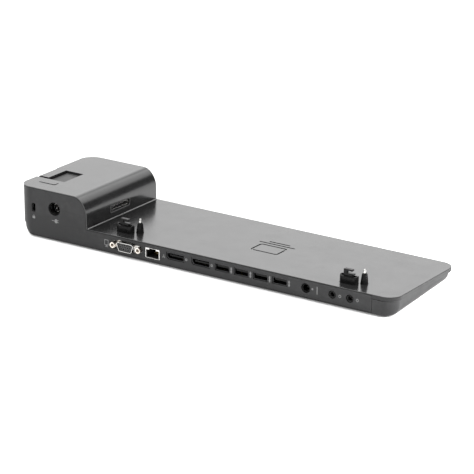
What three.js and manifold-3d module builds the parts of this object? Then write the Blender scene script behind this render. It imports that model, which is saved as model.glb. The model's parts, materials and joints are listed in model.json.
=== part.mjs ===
// Laptop docking station: a long wedge-shaped platform with a tower at one end.
// Millimetres. +X points to the tower's end, +Y to the rear with the ports, +Z up.
// The origin is on the ground, at the centre of the outline.
import * as THREE from "three";
import { mergeVertices } from "three/addons/utils/BufferGeometryUtils.js";
import Module from "manifold-3d";

const wasm = await Module();
wasm.setup();

// ---------------------------------------------------------------- driving dimensions
const LENGTH = 359;
const DEPTH = 106;
const SLOPE = THREE.MathUtils.degToRad(3.65); // the platform falls towards the front
const FOOT_LIFT = 1.2; // underside above the ground
const REAR_HEIGHT = 16.7; // platform's rear edge above the underside
const TOWER_WIDTH = 69.2;
const TOWER_RISE = 26.8; // tower's top above the platform
const LID = 3.6; // height of the platform's edge
const PLATE = 2.2; // thickness of the platform inside that edge
const WALL = 2.2;
const FLOOR = 2;
const GAP = 0.3; // between pieces that meet
const CORNER = 12; // radius of the outline's corners
const PORT_PROUD = 2.5; // how far the video port stands out of the rear face
const LEVER_TRAVEL = 8;
const LATCH_TRAVEL = 3.2;
const CORNER_STEPS = 2; // fineness of small rounded corners

const REAR_Y = (DEPTH - PORT_PROUD) / 2;
const FRONT_Y = REAR_Y - DEPTH;
const DECK_REAR_Z = FOOT_LIFT + REAR_HEIGHT;
const SEAM_DROP = LID + GAP; // the lower housing's rim below the platform's surface
const TOP = TOWER_RISE * Math.cos(SLOPE); // tower's top in the platform's own frame

// Places are given as distances from the tower's outer end and from the rear edge.
const fromEnd = (distance) => LENGTH / 2 - distance;
const fromRear = (distance) => REAR_Y - distance;
const above = (height) => FOOT_LIFT + height; // heights on the rear face
const deckZ = (y) => DECK_REAR_Z - (REAR_Y - y) * Math.tan(SLOPE);
const INNER_X = fromEnd(TOWER_WIDTH);

// ---------------------------------------------------------------- materials
const finish = (color, roughness, metalness = 0) =>
  new THREE.MeshStandardMaterial({ color, roughness, metalness });
const darkPlastic = finish(0x3b3b3d, 0.55);
const deckPlastic = finish(0x56565a, 0.42);
const blackPlastic = finish(0x141415, 0.5);
const rubber = finish(0x1c1c1c, 0.9);
const nickel = finish(0xc9c6bf, 0.28, 1);
const darkSteel = finish(0x55565a, 0.4, 1);
const gold = finish(0xc9a24a, 0.3, 1);
const circuitGreen = finish(0x1f4a33, 0.6);
const amberFilm = finish(0x8a5a22, 0.5);

// ---------------------------------------------------------------- shapes
function block([x0, x1], [y0, y1], [z0, z1]) {
  const geometry = new THREE.BoxGeometry(Math.abs(x1 - x0), Math.abs(y1 - y0), Math.abs(z1 - z0));
  return geometry.translate((x0 + x1) / 2, (y0 + y1) / 2, (z0 + z1) / 2);
}

// A round bar between two points; its far end may have another radius.
function rod(from, to, radius, farRadius = radius, segments = 16) {
  const a = new THREE.Vector3(...from);
  const b = new THREE.Vector3(...to);
  const way = b.clone().sub(a);
  const geometry = new THREE.CylinderGeometry(farRadius, radius, way.length(), segments);
  const turn = new THREE.Quaternion().setFromUnitVectors(new THREE.Vector3(0, 1, 0), way.normalize());
  return geometry.applyQuaternion(turn).translate(...a.add(b).multiplyScalar(0.5).toArray());
}

function roundedRectangle(width, height, radius) {
  const [w, h, r] = [width / 2, height / 2, radius];
  const shape = new THREE.Shape();
  shape.moveTo(w, -h + r);
  shape.lineTo(w, h - r).absarc(w - r, h - r, r, 0, Math.PI / 2);
  shape.lineTo(-w + r, h).absarc(-w + r, h - r, r, Math.PI / 2, Math.PI);
  shape.lineTo(-w, -h + r).absarc(-w + r, -h + r, r, Math.PI, 1.5 * Math.PI);
  shape.lineTo(w - r, -h).absarc(w - r, -h + r, r, 1.5 * Math.PI, 2 * Math.PI);
  return shape;
}

function circle(radius, sides = 20) {
  const turn = (2 * Math.PI) / sides;
  return polygon(
    Array.from({ length: sides }, (_, i) => [radius * Math.cos(i * turn), radius * Math.sin(i * turn)]),
  );
}

function polygon(points) {
  return new THREE.Shape(points.map(([x, y]) => new THREE.Vector2(x, y)));
}

// A shape extruded upwards from its own plane.
function plate(shape, thickness, curveSegments = CORNER_STEPS) {
  return new THREE.ExtrudeGeometry(shape, { depth: thickness, bevelEnabled: false, curveSegments });
}

// A shape drawn on the rear face, x and z, extruded from there towards the front.
function inward(shape, depth, curveSegments = CORNER_STEPS) {
  return plate(shape, depth, curveSegments).rotateX(Math.PI / 2);
}

// A closed body through rings of points, from one end ring to the other.
function loft(rings) {
  const count = rings[0].length;
  const centre = (ring) =>
    ring.reduce((sum, p) => sum.add(p), new THREE.Vector3()).multiplyScalar(1 / count);
  const points = [...rings.flat(), centre(rings[0]), centre(rings.at(-1))];
  const [first, last] = [points.length - 2, points.length - 1];
  const faces = [];
  for (let i = 0; i < count; i++) {
    const next = (i + 1) % count;
    for (let k = 0; k < rings.length - 1; k++) {
      const [low, high] = [k * count, (k + 1) * count];
      faces.push(low + i, low + next, high + next, low + i, high + next, high + i);
    }
    const top = (rings.length - 1) * count;
    faces.push(first, next, i, last, top + i, top + next);
  }
  let volume = 0;
  for (let f = 0; f < faces.length; f += 3) {
    const [a, b, c] = [points[faces[f]], points[faces[f + 1]], points[faces[f + 2]]];
    volume += a.dot(b.clone().cross(c));
  }
  const geometry = new THREE.BufferGeometry().setFromPoints(points);
  return geometry.setIndex(volume < 0 ? faces.reverse() : faces);
}

// The corner points of a box-shaped outline with a radius of its own at each corner,
// in the order +x+y, -x+y, -x-y, +x-y. Heights come from a function of y.
function outline([x0, x1], [y0, y1], radii, height, steps = 7) {
  const corners = [[x1, y1], [x0, y1], [x0, y0], [x1, y0]];
  return corners.flatMap(([x, y], corner) => {
    const r = radii[corner];
    const cx = x === x1 ? x - r : x + r;
    const cy = y === y1 ? y - r : y + r;
    return Array.from({ length: steps + 1 }, (_, i) => {
      const angle = ((corner + i / steps) * Math.PI) / 2;
      const px = cx + r * Math.cos(angle);
      const py = cy + r * Math.sin(angle);
      return new THREE.Vector3(px, py, height(py));
    });
  });
}

// ---------------------------------------------------------------- solids
function solid(geometry) {
  const bare = geometry.clone();
  bare.deleteAttribute("normal");
  bare.deleteAttribute("uv");
  const merged = mergeVertices(bare, 1e-4);
  return new wasm.Manifold(
    new wasm.Mesh({
      numProp: 3,
      vertProperties: merged.attributes.position.array,
      triVerts: new Uint32Array(merged.index.array),
    }),
  );
}

function geometryOf(body) {
  const mesh = body.getMesh();
  const geometry = new THREE.BufferGeometry();
  geometry.setAttribute("position", new THREE.BufferAttribute(mesh.vertProperties, 3));
  geometry.setIndex(new THREE.BufferAttribute(mesh.triVerts, 1));
  return geometry;
}

const joined = (geometries) =>
  geometries.map(solid).reduce((whole, piece) => whole.add(piece));

// The first geometry or solid, with geometries added, then others taken away.
function carve(base, { add = [], cut = [] }) {
  let body = base instanceof THREE.BufferGeometry ? solid(base) : base;
  if (add.length) body = body.add(joined(add));
  if (cut.length) body = body.subtract(joined(cut));
  return geometryOf(body);
}

const model = new THREE.Group();
// The platform's own frame: its surface is z = 0, and its rear edge is y = 0.
const deckFrame = new THREE.Group();
deckFrame.position.set(0, REAR_Y, DECK_REAR_Z);
deckFrame.rotation.x = SLOPE;
deckFrame.updateMatrix();
model.add(deckFrame);
const tilted = (geometry) => geometry.applyMatrix4(deckFrame.matrix);

function put(name, geometry, material, place = [0, 0, 0], parent = model) {
  const mesh = new THREE.Mesh(geometry, material);
  mesh.name = name;
  mesh.position.set(...place);
  parent.add(mesh);
  return mesh;
}

// ---------------------------------------------------------------- places of the pieces
const REAR_PANEL_END = 338.5; // the rear panel's far end, from the tower's outer end
const PANEL_WRAP = 13; // how far the panel wraps round the tower's corner
const PANEL_FOOT = 1.5; // the panel's lower edge above the underside
const PANEL_HEAD = 1; // the panel's upper edge below the tower's top and the platform
const EDGE = 3.4; // width of the platform's thicker edge
const SHARP = [0.1, 0.1, 0.1, 0.1]; // an outline with square corners

const POSTS = [109.2, 321.1];
const POST_DISTANCE = 19.8;
const HOOKS = [98.4, 310.3];
const HOOK_DISTANCE = 14.3;

const LOCK = { x: 15.4, z: 25.5, width: 3, height: 7 };
const POWER = { x: 36.5, z: 27.9, radius: 5.9 };
const VIDEO = { x: 108.3, z: 8.8, screws: 12.5 };
const NETWORK = { x: 133.7, z: 8.1, width: 15.6, height: 10.2 };
const DISPLAYS = [156.2, 180.5];
const DISPLAY = { z: 9.9, width: 16.8, height: 5.6 };
const USB = { first: 201.05, pitch: 18.02, z: 9.8, width: 13.1, height: 5.6 };
const ROUND = { x: 279, z: 9.2, radius: 4.1 };
const AUDIO = { places: [303.1, 318.9], z: 8.8, radius: 3.4 };

const LEVER = { from: 28, to: 54, reach: 10.6, padHeight: 14, padThickness: 2.6, tab: 2, proud: 0.3 };
// The tab slides over this recess's floor; its opening is longer than the lever by the clearance.
const RECESS = { start: 11, end: 28, depth: 2, floor: 1.7, clearance: 1.5 };
const STEM = { from: 35.8, to: 46.2, near: 3.2, far: 8, low: 8, high: 21.4 };
const BUTTON = { x: 18.2, distance: 17.3, width: 16, height: 6, radius: 1.2, proud: 0.35 };
const CONNECTOR = { distance: 49, height: 8.6, width: 26.4, thickness: 3.6 };
const PIVOT = { x: 52, distance: 18.4, drive: 24, follow: 9.6 };
const SWING = Math.asin(LEVER_TRAVEL / 2 / PIVOT.drive);
const BAR = { from: 24, to: 32, low: -4.3, high: -2.7 };
const FEET = [[24, 15], [24, 91], [334, 15], [334, 91]];
const SCREWS = [[86, 92], [215, 92], [340, 80], [215, 68]];

// ---------------------------------------------------------------- outer shape
// The skirt under the platform curves in towards the underside. For the tower end, the far
// end, the front and the rear: how far it goes in, and over what height.
const ROUNDING = [
  { across: 7.8, up: 13, rim: 0.2 },
  { across: 5.4, up: 9, rim: 1.1 },
  { across: 7, up: 8, rim: 2.4 },
  { across: 1, up: 1.2, rim: 0 },
];
const SKIRT_HEIGHTS = [0, 0.4, 1.3, 2.9, 5];

function skirtInsets(height) {
  return ROUNDING.map(({ across, up, rim }) => {
    const left = Math.max(0, 1 - height / up);
    return rim + (across - rim) * (1 - Math.sqrt(1 - left * left));
  });
}

function skirtRing([towerEnd, farEnd, front, rear], height, shrink = 0) {
  const sideways = [-LENGTH / 2 + farEnd + shrink, LENGTH / 2 - towerEnd - shrink];
  const lengthways = [FRONT_Y + front + shrink, REAR_Y - rear - shrink];
  const radius = CORNER - 0.5 * (towerEnd + shrink);
  return outline(sideways, lengthways, Array(4).fill(radius), height);
}

function skirt() {
  const rings = SKIRT_HEIGHTS.map((height) => skirtRing(skirtInsets(height), () => above(height)));
  const rim = skirtRing(skirtInsets(Infinity), (y) => deckZ(y) - SEAM_DROP);
  return loft([...rings, rim]);
}

function skirtCavity() {
  const bottom = skirtRing(skirtInsets(FLOOR), () => above(FLOOR), WALL);
  const rim = skirtRing(skirtInsets(Infinity), (y) => deckZ(y) + 1, WALL);
  return loft([bottom, rim]);
}

// The tower's outline seen from the rear, at one distance along its depth.
const BROW = { across: 13, down: 17 }; // the rounded edge over the platform
const TOP_EDGE = 0.6; // width of the chamfer along the outer edge
function towerRing(y, inset, bottomZ) {
  const inner = INNER_X + inset;
  const outer = LENGTH / 2 - inset;
  const top = deckZ(y) + TOWER_RISE - inset;
  const [a, b] = [BROW.across - inset / 2, BROW.down - inset / 2];
  const brow = Array.from({ length: 13 }, (_, i) => {
    const angle = (i / 12) * (Math.PI / 2);
    return [inner + a - a * Math.cos(angle), top - b + b * Math.sin(angle)];
  });
  const edge = [[outer - TOP_EDGE, top], [outer, top - TOP_EDGE]];
  const points = [[inner, bottomZ(y)], ...brow, ...edge, [outer, bottomZ(y)]];
  return points.map(([x, z]) => new THREE.Vector3(x, y, z));
}

function towerBody(inset, bottomZ, rear) {
  const profile = solid(
    loft([towerRing(FRONT_Y + inset, inset, bottomZ), towerRing(rear, inset, bottomZ)]),
  );
  const rearRadius = rear > REAR_Y ? 0.5 : CORNER - inset;
  const plan = (z) =>
    outline(
      [INNER_X + inset, LENGTH / 2 - inset],
      [FRONT_Y + inset, rear],
      [rearRadius, 0.5, 0.5, CORNER + 1 - inset],
      () => z,
    );
  return profile.intersect(solid(loft([plan(-5), plan(80)])));
}

// Where the rear panel is, seen from above: along the rear and round the tower's corner.
function panelZone(gap) {
  const along = block(
    [fromEnd(REAR_PANEL_END) - gap, LENGTH / 2 + 1],
    [fromRear(WALL) - gap, REAR_Y + 1],
    [above(PANEL_FOOT) - gap, 80],
  );
  const corner = block(
    [fromEnd(PANEL_WRAP) - gap, LENGTH / 2 + 1],
    [fromRear(PANEL_WRAP) - gap, REAR_Y + 1],
    [above(PANEL_FOOT) - gap, 80],
  );
  return joined([along, corner]);
}

// The part of that zone inside the tower's skin and below the platform's edge.
function panelZoneUnderSkin(gap) {
  const inset = PANEL_HEAD - gap;
  const [front, rear] = [REAR_Y - PANEL_WRAP - 5, REAR_Y + 2];
  const underSkin = loft([towerRing(front, inset, () => -1), towerRing(rear, inset, () => -1)]);
  const slab = (from, to, top) =>
    solid(loft([() => -1, top].map((height) => outline([from, to], [front, rear], SHARP, height, 1))));
  const belowPlatform = slab(-LENGTH / 2 - 1, LENGTH / 2 + 1, (y) => deckZ(y) - inset);
  const roundCorner = slab(fromEnd(PANEL_WRAP), LENGTH / 2 + 1, (y) => deckZ(y) + TOWER_RISE - inset);
  return panelZone(gap).intersect(solid(underSkin).add(belowPlatform).add(roundCorner));
}

// ---------------------------------------------------------------- casings
function footPocket([x, distance]) {
  const pocket = plate(roundedRectangle(26.6, 9.6, 4.8), 1.1 + 1);
  return pocket.translate(fromEnd(x), fromRear(distance), FOOT_LIFT - 1);
}

const SCREW_SEAT = 4.4; // top of the lower bosses above the underside

function lowerHousing() {
  const tray = solid(skirt()).subtract(solid(skirtCavity())).subtract(panelZone(GAP));
  const screwLine = ([x, distance], from, to, radius) =>
    rod([fromEnd(x), fromRear(distance), from], [fromEnd(x), fromRear(distance), to], radius);
  const bosses = SCREWS.map((screw) => screwLine(screw, above(1), above(SCREW_SEAT), 4.2));
  const bores = SCREWS.flatMap((screw) => [
    screwLine(screw, -1, above(2.2), 3.1),
    screwLine(screw, 0, 20, 1.7),
  ]);
  const ribs = [118, 180, 250, 310].map((x) =>
    block([fromEnd(x), fromEnd(x) - 1.4], [fromRear(98), fromRear(66)], [above(1), above(3.6)]),
  );
  const body = carve(tray, { add: [...bosses, ...ribs], cut: [...bores, ...FEET.map(footPocket)] });
  put("lower_housing", body, darkPlastic);
}

function platformCover() {
  const sideways = [-LENGTH / 2, INNER_X - GAP];
  const corners = [0.4, CORNER, CORNER, 0.4];
  const ring = (inset, drop) =>
    outline(
      [sideways[0] + inset, sideways[1]],
      [FRONT_Y + inset, REAR_Y - inset],
      corners.map((r) => Math.max(r - inset, 0.1)),
      (y) => deckZ(y) - drop,
    );
  const edge = [[0.3, LID], [0, LID - 0.4], [0, 0.5], [0.15, 0.15], [0.5, 0]];
  const slab = solid(loft(edge.map(([inset, drop]) => ring(inset, drop))));
  const hollow = (from, rear, radius) => {
    const span = [from, sideways[1] + 1];
    const radii = [0.4, radius, radius, 0.4];
    const at = (drop) => outline(span, [FRONT_Y + EDGE, rear], radii, (y) => deckZ(y) - drop);
    return loft([at(LID + 1), at(PLATE)]);
  };
  const inside = hollow(sideways[0] + EDGE, REAR_Y - EDGE, CORNER - EDGE);
  const behindPanel = hollow(fromEnd(REAR_PANEL_END) + EDGE, REAR_Y + 1, 0.4);
  const lid = slab.subtract(joined([inside, behindPanel])).subtract(panelZoneUnderSkin(GAP));
  const bosses = SCREWS.map(([x, distance]) => {
    const y = fromRear(distance);
    return rod([fromEnd(x), y, above(SCREW_SEAT + GAP)], [fromEnd(x), y, deckZ(y) - 1], 3.2);
  });
  const pilots = SCREWS.map(([x, distance]) => {
    const y = fromRear(distance);
    return rod([fromEnd(x), y, above(3)], [fromEnd(x), y, deckZ(y) - 1.8], 1.5, 1.5, 12);
  });
  const hookHoles = HOOKS.flatMap((x) => {
    const seat = plate(roundedRectangle(16.6, 8.1, 4.05), 2).translate(fromEnd(x), -HOOK_DISTANCE, -0.8);
    const slot = plate(roundedRectangle(13.6, 4.6, 1.2), 6).translate(fromEnd(x), -HOOK_DISTANCE, -4);
    return [tilted(seat), tilted(slot)];
  });
  const postSeats = POSTS.map((x) =>
    tilted(rod([fromEnd(x), -POST_DISTANCE, -0.8], [fromEnd(x), -POST_DISTANCE, 1], 3.4)),
  );
  const body = carve(lid, { add: bosses, cut: [...pilots, ...hookHoles, ...postSeats] });
  put("platform_cover", body, deckPlastic);
}

// The lever's opening in the outer wall, and the recess beside it, in the platform's frame.
function leverOpening() {
  const span = [-LEVER.to - GAP, -LEVER.from + RECESS.clearance];
  const above = TOP + 2;
  return [
    block([fromEnd(RECESS.start), fromEnd(-1)], span, [TOP - LEVER.padHeight - GAP, above]),
    block([fromEnd(RECESS.end), fromEnd(RECESS.start - 1)], span, [TOP - RECESS.depth, above]),
  ].map(tilted);
}

function towerCover() {
  const outside = towerBody(0, (y) => deckZ(y) - LID, REAR_Y);
  // The latch bar passes under the wall beside the platform.
  const passage = block([INNER_X - 1, INNER_X + WALL + 0.5], [-DEPTH + EDGE, 5], [-LID - 5, -PLATE]);
  const inside = towerBody(WALL, (y) => deckZ(y) - 10, REAR_Y + 5);
  const tub = block(
    [fromEnd(RECESS.end + 2), fromEnd(RECESS.start - 0.2)],
    [-LEVER.to - 2, -LEVER.from + RECESS.clearance + 2],
    [TOP - RECESS.depth - RECESS.floor, TOP - 1],
  );
  const buttonHole = plate(
    roundedRectangle(BUTTON.width + 2 * GAP, BUTTON.height + 2 * GAP, BUTTON.radius + GAP),
    8,
  ).translate(fromEnd(BUTTON.x), -BUTTON.distance, TOP - 6);
  const connectorSlot = plate(roundedRectangle(CONNECTOR.width + 1, CONNECTOR.thickness + 0.9, 1.2), 10)
    .rotateX(Math.PI / 2)
    .rotateZ(Math.PI / 2)
    .translate(INNER_X - 5, -CONNECTOR.distance, CONNECTOR.height);
  const shell = outside.subtract(inside).subtract(panelZoneUnderSkin(GAP));
  const body = carve(shell, {
    add: [tilted(tub)],
    cut: [...leverOpening(), tilted(buttonHole), tilted(connectorSlot), tilted(passage)],
  });
  put("tower_cover", body, deckPlastic);
}

// The panel's upper strip, in front of the platform's edge.
function panelStrip() {
  const ring = (height) =>
    outline([fromEnd(REAR_PANEL_END), LENGTH / 2 - PANEL_WRAP], [fromRear(WALL), REAR_Y], SHARP, height, 1);
  return solid(loft([ring((y) => deckZ(y) - SEAM_DROP - 3), ring((y) => deckZ(y) + 1)]));
}

function rearPanel() {
  const lowerPart = solid(skirt()).subtract(solid(skirtCavity())).add(panelStrip());
  const upperPart = towerBody(0, (y) => deckZ(y) - SEAM_DROP - 3, REAR_Y).subtract(
    towerBody(WALL, (y) => deckZ(y) - 20, fromRear(WALL)),
  );
  const holes = [
    [roundedRectangle(LOCK.width, LOCK.height, 1), LOCK],
    [circle(POWER.radius), POWER],
    [roundedRectangle(2 * VIDEO.screws + 6.6, 6.8, 3.3), VIDEO],
    [roundedRectangle(18.8, 9.6, 2.2), VIDEO],
    [roundedRectangle(NETWORK.width + 0.7, NETWORK.height + 0.7, 0.4), NETWORK],
    ...DISPLAYS.map((x) => [displayOutline(0.35), { x, z: DISPLAY.z }]),
    ...[0, 1, 2, 3].map((i) => [
      roundedRectangle(USB.width + 0.8, USB.height + 0.7, 0.4),
      { x: USB.first + i * USB.pitch, z: USB.z },
    ]),
    [circle(ROUND.radius), ROUND],
    ...AUDIO.places.map((x) => [circle(AUDIO.radius), { x, z: AUDIO.z }]),
  ].map(([shape, { x, z }]) => inward(shape, 8).translate(fromEnd(x), REAR_Y + 2, above(z)));
  const whole = lowerPart.add(upperPart).intersect(panelZoneUnderSkin(0));
  put("rear_panel", carve(whole, { cut: holes }), darkPlastic);
}

// ---------------------------------------------------------------- ports
// The lower corner on the tower's side is cut off.
function displayOutline(grow, width = DISPLAY.width, height = DISPLAY.height) {
  const [w, h] = [width / 2 + grow, height / 2 + grow];
  return polygon([[w, h], [-w, h], [-w, -h], [w - 1.8, -h], [w, -h + 1.8]]);
}

// A tube drawn on the rear face, closed at its inner end.
function sleeve(outside, inside, depth, endWall = 0.8) {
  return carve(inward(outside, depth), { cut: [inward(inside, depth - endWall + 1).translate(0, 1, 0)] });
}

function trapezoid(topWidth, height, lean) {
  const [w, h] = [topWidth / 2, height / 2];
  return polygon([
    [w - 1, h], [-w + 1, h], [-w, h - 1], [-w + lean, -h + 1],
    [-w + lean + 1, -h], [w - lean - 1, -h], [w - lean, -h + 1], [w, h - 1],
  ]);
}

function videoPort() {
  const at = [fromEnd(VIDEO.x), REAR_Y + PORT_PROUD, above(VIDEO.z)];
  const flange = inward(roundedRectangle(31, 10.2, 1), 1).translate(0, -PORT_PROUD - WALL - GAP, 0);
  const shell = carve(inward(trapezoid(17.2, 8.4, 1.3), PORT_PROUD + WALL + 1.1), {
    add: [flange],
    cut: [
      inward(trapezoid(16.2, 7.4, 1.3), 20).translate(0, 5, 0),
      ...[-1, 1].map((side) => inward(circle(2), 20).translate(side * VIDEO.screws, 5, 0)),
    ],
  });
  put("vga_shell", shell, nickel, at);
  const contacts = [-1, 0, 1].flatMap((row) =>
    [-2, -1, 0, 1, 2].map((column) =>
      inward(circle(0.5, 6), 3).translate(column * 2.3 + row * 0.6, 1, row * 1.9),
    ),
  );
  const insert = carve(inward(trapezoid(15.5, 6.7, 1.3), 8), { cut: contacts });
  put("vga_insert", insert, blackPlastic, [at[0], at[1] - 0.8, at[2]]);
  [-1, 1].forEach((side, i) => {
    const hexagon = polygon(
      Array.from({ length: 6 }, (_, k) => {
        const angle = (k * Math.PI) / 3 + Math.PI / 6;
        return [2.75 * Math.cos(angle), 2.75 * Math.sin(angle)];
      }),
    );
    const head = inward(hexagon, PORT_PROUD + WALL);
    const screw = carve(head, {
      add: [rod([0, -PORT_PROUD - WALL + 0.5, 0], [0, -PORT_PROUD - WALL - 4, 0], 1.6, 1.6, 16)],
      cut: [rod([0, 1, 0], [0, -3.6, 0], 1.35, 1.35, 16)],
    });
    put(`jackscrew_${i + 1}`, screw, nickel, [at[0] + side * VIDEO.screws, at[1], at[2]]);
  });
}

function networkPort() {
  const at = [fromEnd(NETWORK.x), fromRear(0.4), above(NETWORK.z)];
  const mouth = polygon([
    [6, -4.1], [6, 2.6], [3.3, 2.6], [3.3, 4.2], [-3.3, 4.2], [-3.3, 2.6], [-6, 2.6], [-6, -4.1],
  ]);
  const shield = sleeve(roundedRectangle(NETWORK.width, NETWORK.height, 0.4), mouth, 16, 1);
  put("rj45_shield", shield, nickel, at);
  const contacts = Array.from({ length: 8 }, (_, i) =>
    block([(i - 3.5) * 1.02 - 0.25, (i - 3.5) * 1.02 + 0.25], [-12, -3.5], [-3.9, -3.1]),
  );
  const comb = carve(block([-5.4, 5.4], [-14.4, -11], [-3.8, 2]), { add: contacts });
  put("rj45_contacts", comb, gold, at);
}

function displayPort(x, index) {
  const at = [fromEnd(x), fromRear(0.5), above(DISPLAY.z)];
  const shell = sleeve(displayOutline(0, 16.8, 5.4), displayOutline(0, 15.9, 4.6), 13);
  put(`displayport_${index}_shell`, shell, darkSteel, at);
  const tongue = block([-6.6, 6.6], [-11.8, -1.6], [-0.7, 0.7]);
  put(`displayport_${index}_tongue`, tongue, blackPlastic, at);
}

function usbPort(index) {
  const x = fromEnd(USB.first + (index - 1) * USB.pitch);
  const at = [x, fromRear(0.5), above(USB.z)];
  const shell = sleeve(
    roundedRectangle(USB.width, USB.height, 0.5),
    roundedRectangle(USB.width - 0.7, USB.height - 0.7, 0.3),
    14.5,
  );
  put(`usb_${index}_shell`, shell, darkSteel, at);
  const tongue = block([-5.5, 5.5], [-13.2, -1.2], [0, 1.9]);
  put(`usb_${index}_tongue`, tongue, blackPlastic, at);
}

function roundPorts() {
  const socket = carve(rod([0, 0, 0], [0, -12, 0], 3.8), { cut: [rod([0, 1, 0], [0, -10.5, 0], 2.9)] });
  const pin = rod([0, -11, 0], [0, -3, 0], 0.8, 0.8, 12);
  put("round_socket", carve(socket, { add: [pin] }), blackPlastic, [
    fromEnd(ROUND.x), fromRear(0.6), above(ROUND.z),
  ]);
  AUDIO.places.forEach((x, i) => {
    const jack = carve(rod([0, 0, 0], [0, -2.4, 0], 3.05, 3.05, 20), {
      add: [block([-3.2, 3.2], [-14, -2.2], [-3.1, 3.1])],
      cut: [rod([0, 1, 0], [0, -12.5, 0], 1.8, 1.8, 20)],
    });
    put(`audio_jack_${i + 1}`, jack, blackPlastic, [fromEnd(x), fromRear(0.4), above(AUDIO.z)]);
  });
}

function powerPort() {
  const at = [fromEnd(POWER.x), fromRear(0.8), above(POWER.z)];
  const body = carve(rod([0, 0, 0], [0, -2, 0], POWER.radius - GAP, POWER.radius - GAP, 32), {
    add: [block([-6, 6], [-15, -1.9], [-6, 6])],
    cut: [rod([0, 1, 0], [0, -13, 0], 4.9, 4.9, 32)],
  });
  put("power_jack_body", body, blackPlastic, at);
  const contact = carve(rod([0, -1.6, 0], [0, -12.6, 0], 3.7, 3.7, 28), {
    cut: [rod([0, 0, 0], [0, -12, 0], 3.2, 3.2, 28)],
  });
  put("power_jack_sleeve", contact, nickel, at);
  put("power_jack_pin", rod([0, -11.6, 0], [0, -2.6, 0], 0.6, 0.5, 12), nickel, at);
}

function lockPlate() {
  const sheet = carve(inward(roundedRectangle(12, 16, 1), 1.2).translate(-2, 0, 0), {
    cut: [inward(roundedRectangle(LOCK.width, LOCK.height, 1), 4).translate(0, 1, 0)],
  });
  put("lock_plate", sheet, darkSteel, [fromEnd(LOCK.x), fromRear(WALL + GAP), above(LOCK.z)]);
}

// ---------------------------------------------------------------- docking mechanism
function dockingLever() {
  const span = [-LEVER.to, -LEVER.from];
  const width = [-STEM.to, -STEM.from];
  const top = TOP + LEVER.proud;
  const bottom = TOP - LEVER.padHeight;
  const pad = block([fromEnd(LEVER.padThickness), fromEnd(0)], span, [bottom, top]);
  const tab = block([fromEnd(LEVER.reach), fromEnd(0.5)], span, [top - LEVER.tab, top]);
  const stem = block([fromEnd(STEM.far), fromEnd(STEM.near)], width, [STEM.low, STEM.high]);
  const bridge = block([fromEnd(STEM.far), fromEnd(1)], width, [bottom, bottom + 6]);
  put("docking_lever", carve(pad, { add: [tab, stem, bridge] }), deckPlastic, [0, 0, 0], deckFrame);
}

const DRIVE_X = PIVOT.x - LEVER_TRAVEL / 2;
const DRIVE_DISTANCE = PIVOT.distance + PIVOT.drive * Math.cos(SWING);

function connectorCarriage() {
  const near = CONNECTOR.distance - CONNECTOR.width / 2;
  const far = CONNECTOR.distance + CONNECTOR.width / 2;
  const table = block([fromEnd(58.4), fromEnd(8.3)], [-far - 2.7, -near + 2.7], [4.4, 6.2]);
  const upright = block([fromEnd(11.3), fromEnd(8.3)], [-STEM.to, -STEM.from], [5, 20]);
  const cheeks = [[-far - 2.7, -far - 0.5], [-near + 0.5, -near + 2.7]].map((span) =>
    block([fromEnd(58.4), fromEnd(34)], span, [5, 12.6]),
  );
  const back = block([fromEnd(38), fromEnd(35)], [-far - 1, -near + 1], [5, 12.6]);
  const drive = rod([fromEnd(DRIVE_X), -DRIVE_DISTANCE, 5], [fromEnd(DRIVE_X), -DRIVE_DISTANCE, -2.1], 1.5);
  const body = carve(table, { add: [upright, ...cheeks, back, drive] });
  put("connector_carriage", body, blackPlastic, [0, 0, 0], deckFrame);
}

// Shapes drawn across the slide's way: along the platform's depth and upwards.
function sideways(shape, length) {
  return plate(shape, length).rotateX(Math.PI / 2).rotateZ(-Math.PI / 2);
}

function dockConnector() {
  const tip = TOWER_WIDTH - 0.3;
  const root = 39;
  const [w, t] = [CONNECTOR.width, CONNECTOR.thickness];
  const shell = carve(sideways(roundedRectangle(w, t, 1.4), tip - root), {
    cut: [sideways(roundedRectangle(w - 1, t - 1, 1), tip - root - 1).translate(-1.5, 0, 0)],
  });
  const place = [fromEnd(root), -CONNECTOR.distance, CONNECTOR.height];
  put("dock_connector_shell", shell, nickel, place, deckFrame);
  const insert = carve(sideways(roundedRectangle(w - 1.6, t - 1.6, 0.7), 26.5), {
    cut: [block([-30, -22], [-w / 2 + 2.4, w / 2 - 2.4], [-0.5, 0.5])],
  });
  put("dock_connector_insert", insert, blackPlastic, [place[0] - 1.9, place[1], place[2]], deckFrame);
}

function rockerArm() {
  const [long, short] = [PIVOT.drive, PIVOT.follow];
  const arm = plate(roundedRectangle(9, long + 9, 4.4), 1.8).translate(0, -long / 2, -1.7);
  const body = carve(arm, {
    add: [rod([0, -short, -1], [0, -short, -4.6], 1.45)],
    cut: [
      rod([0, 0, -3], [0, 0, 2], 2.35),
      plate(roundedRectangle(3.7, 5.2, 1.8), 6).translate(0, -long, -3),
    ],
  });
  const arms = put("rocker_arm", body, darkSteel, [fromEnd(PIVOT.x), -PIVOT.distance, 0], deckFrame);
  arms.rotation.z = SWING;
  const pivot = carve(rod([0, 0, -13.1], [0, 0, 0.6], 2), {
    add: [rod([0, 0, 0.4], [0, 0, 1.8], 3.4), rod([0, 0, -13.1], [0, 0, -2.1], 3.2)],
  });
  put("rocker_pivot_pin", pivot, nickel, [fromEnd(PIVOT.x), -PIVOT.distance, 0], deckFrame);
}

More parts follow.
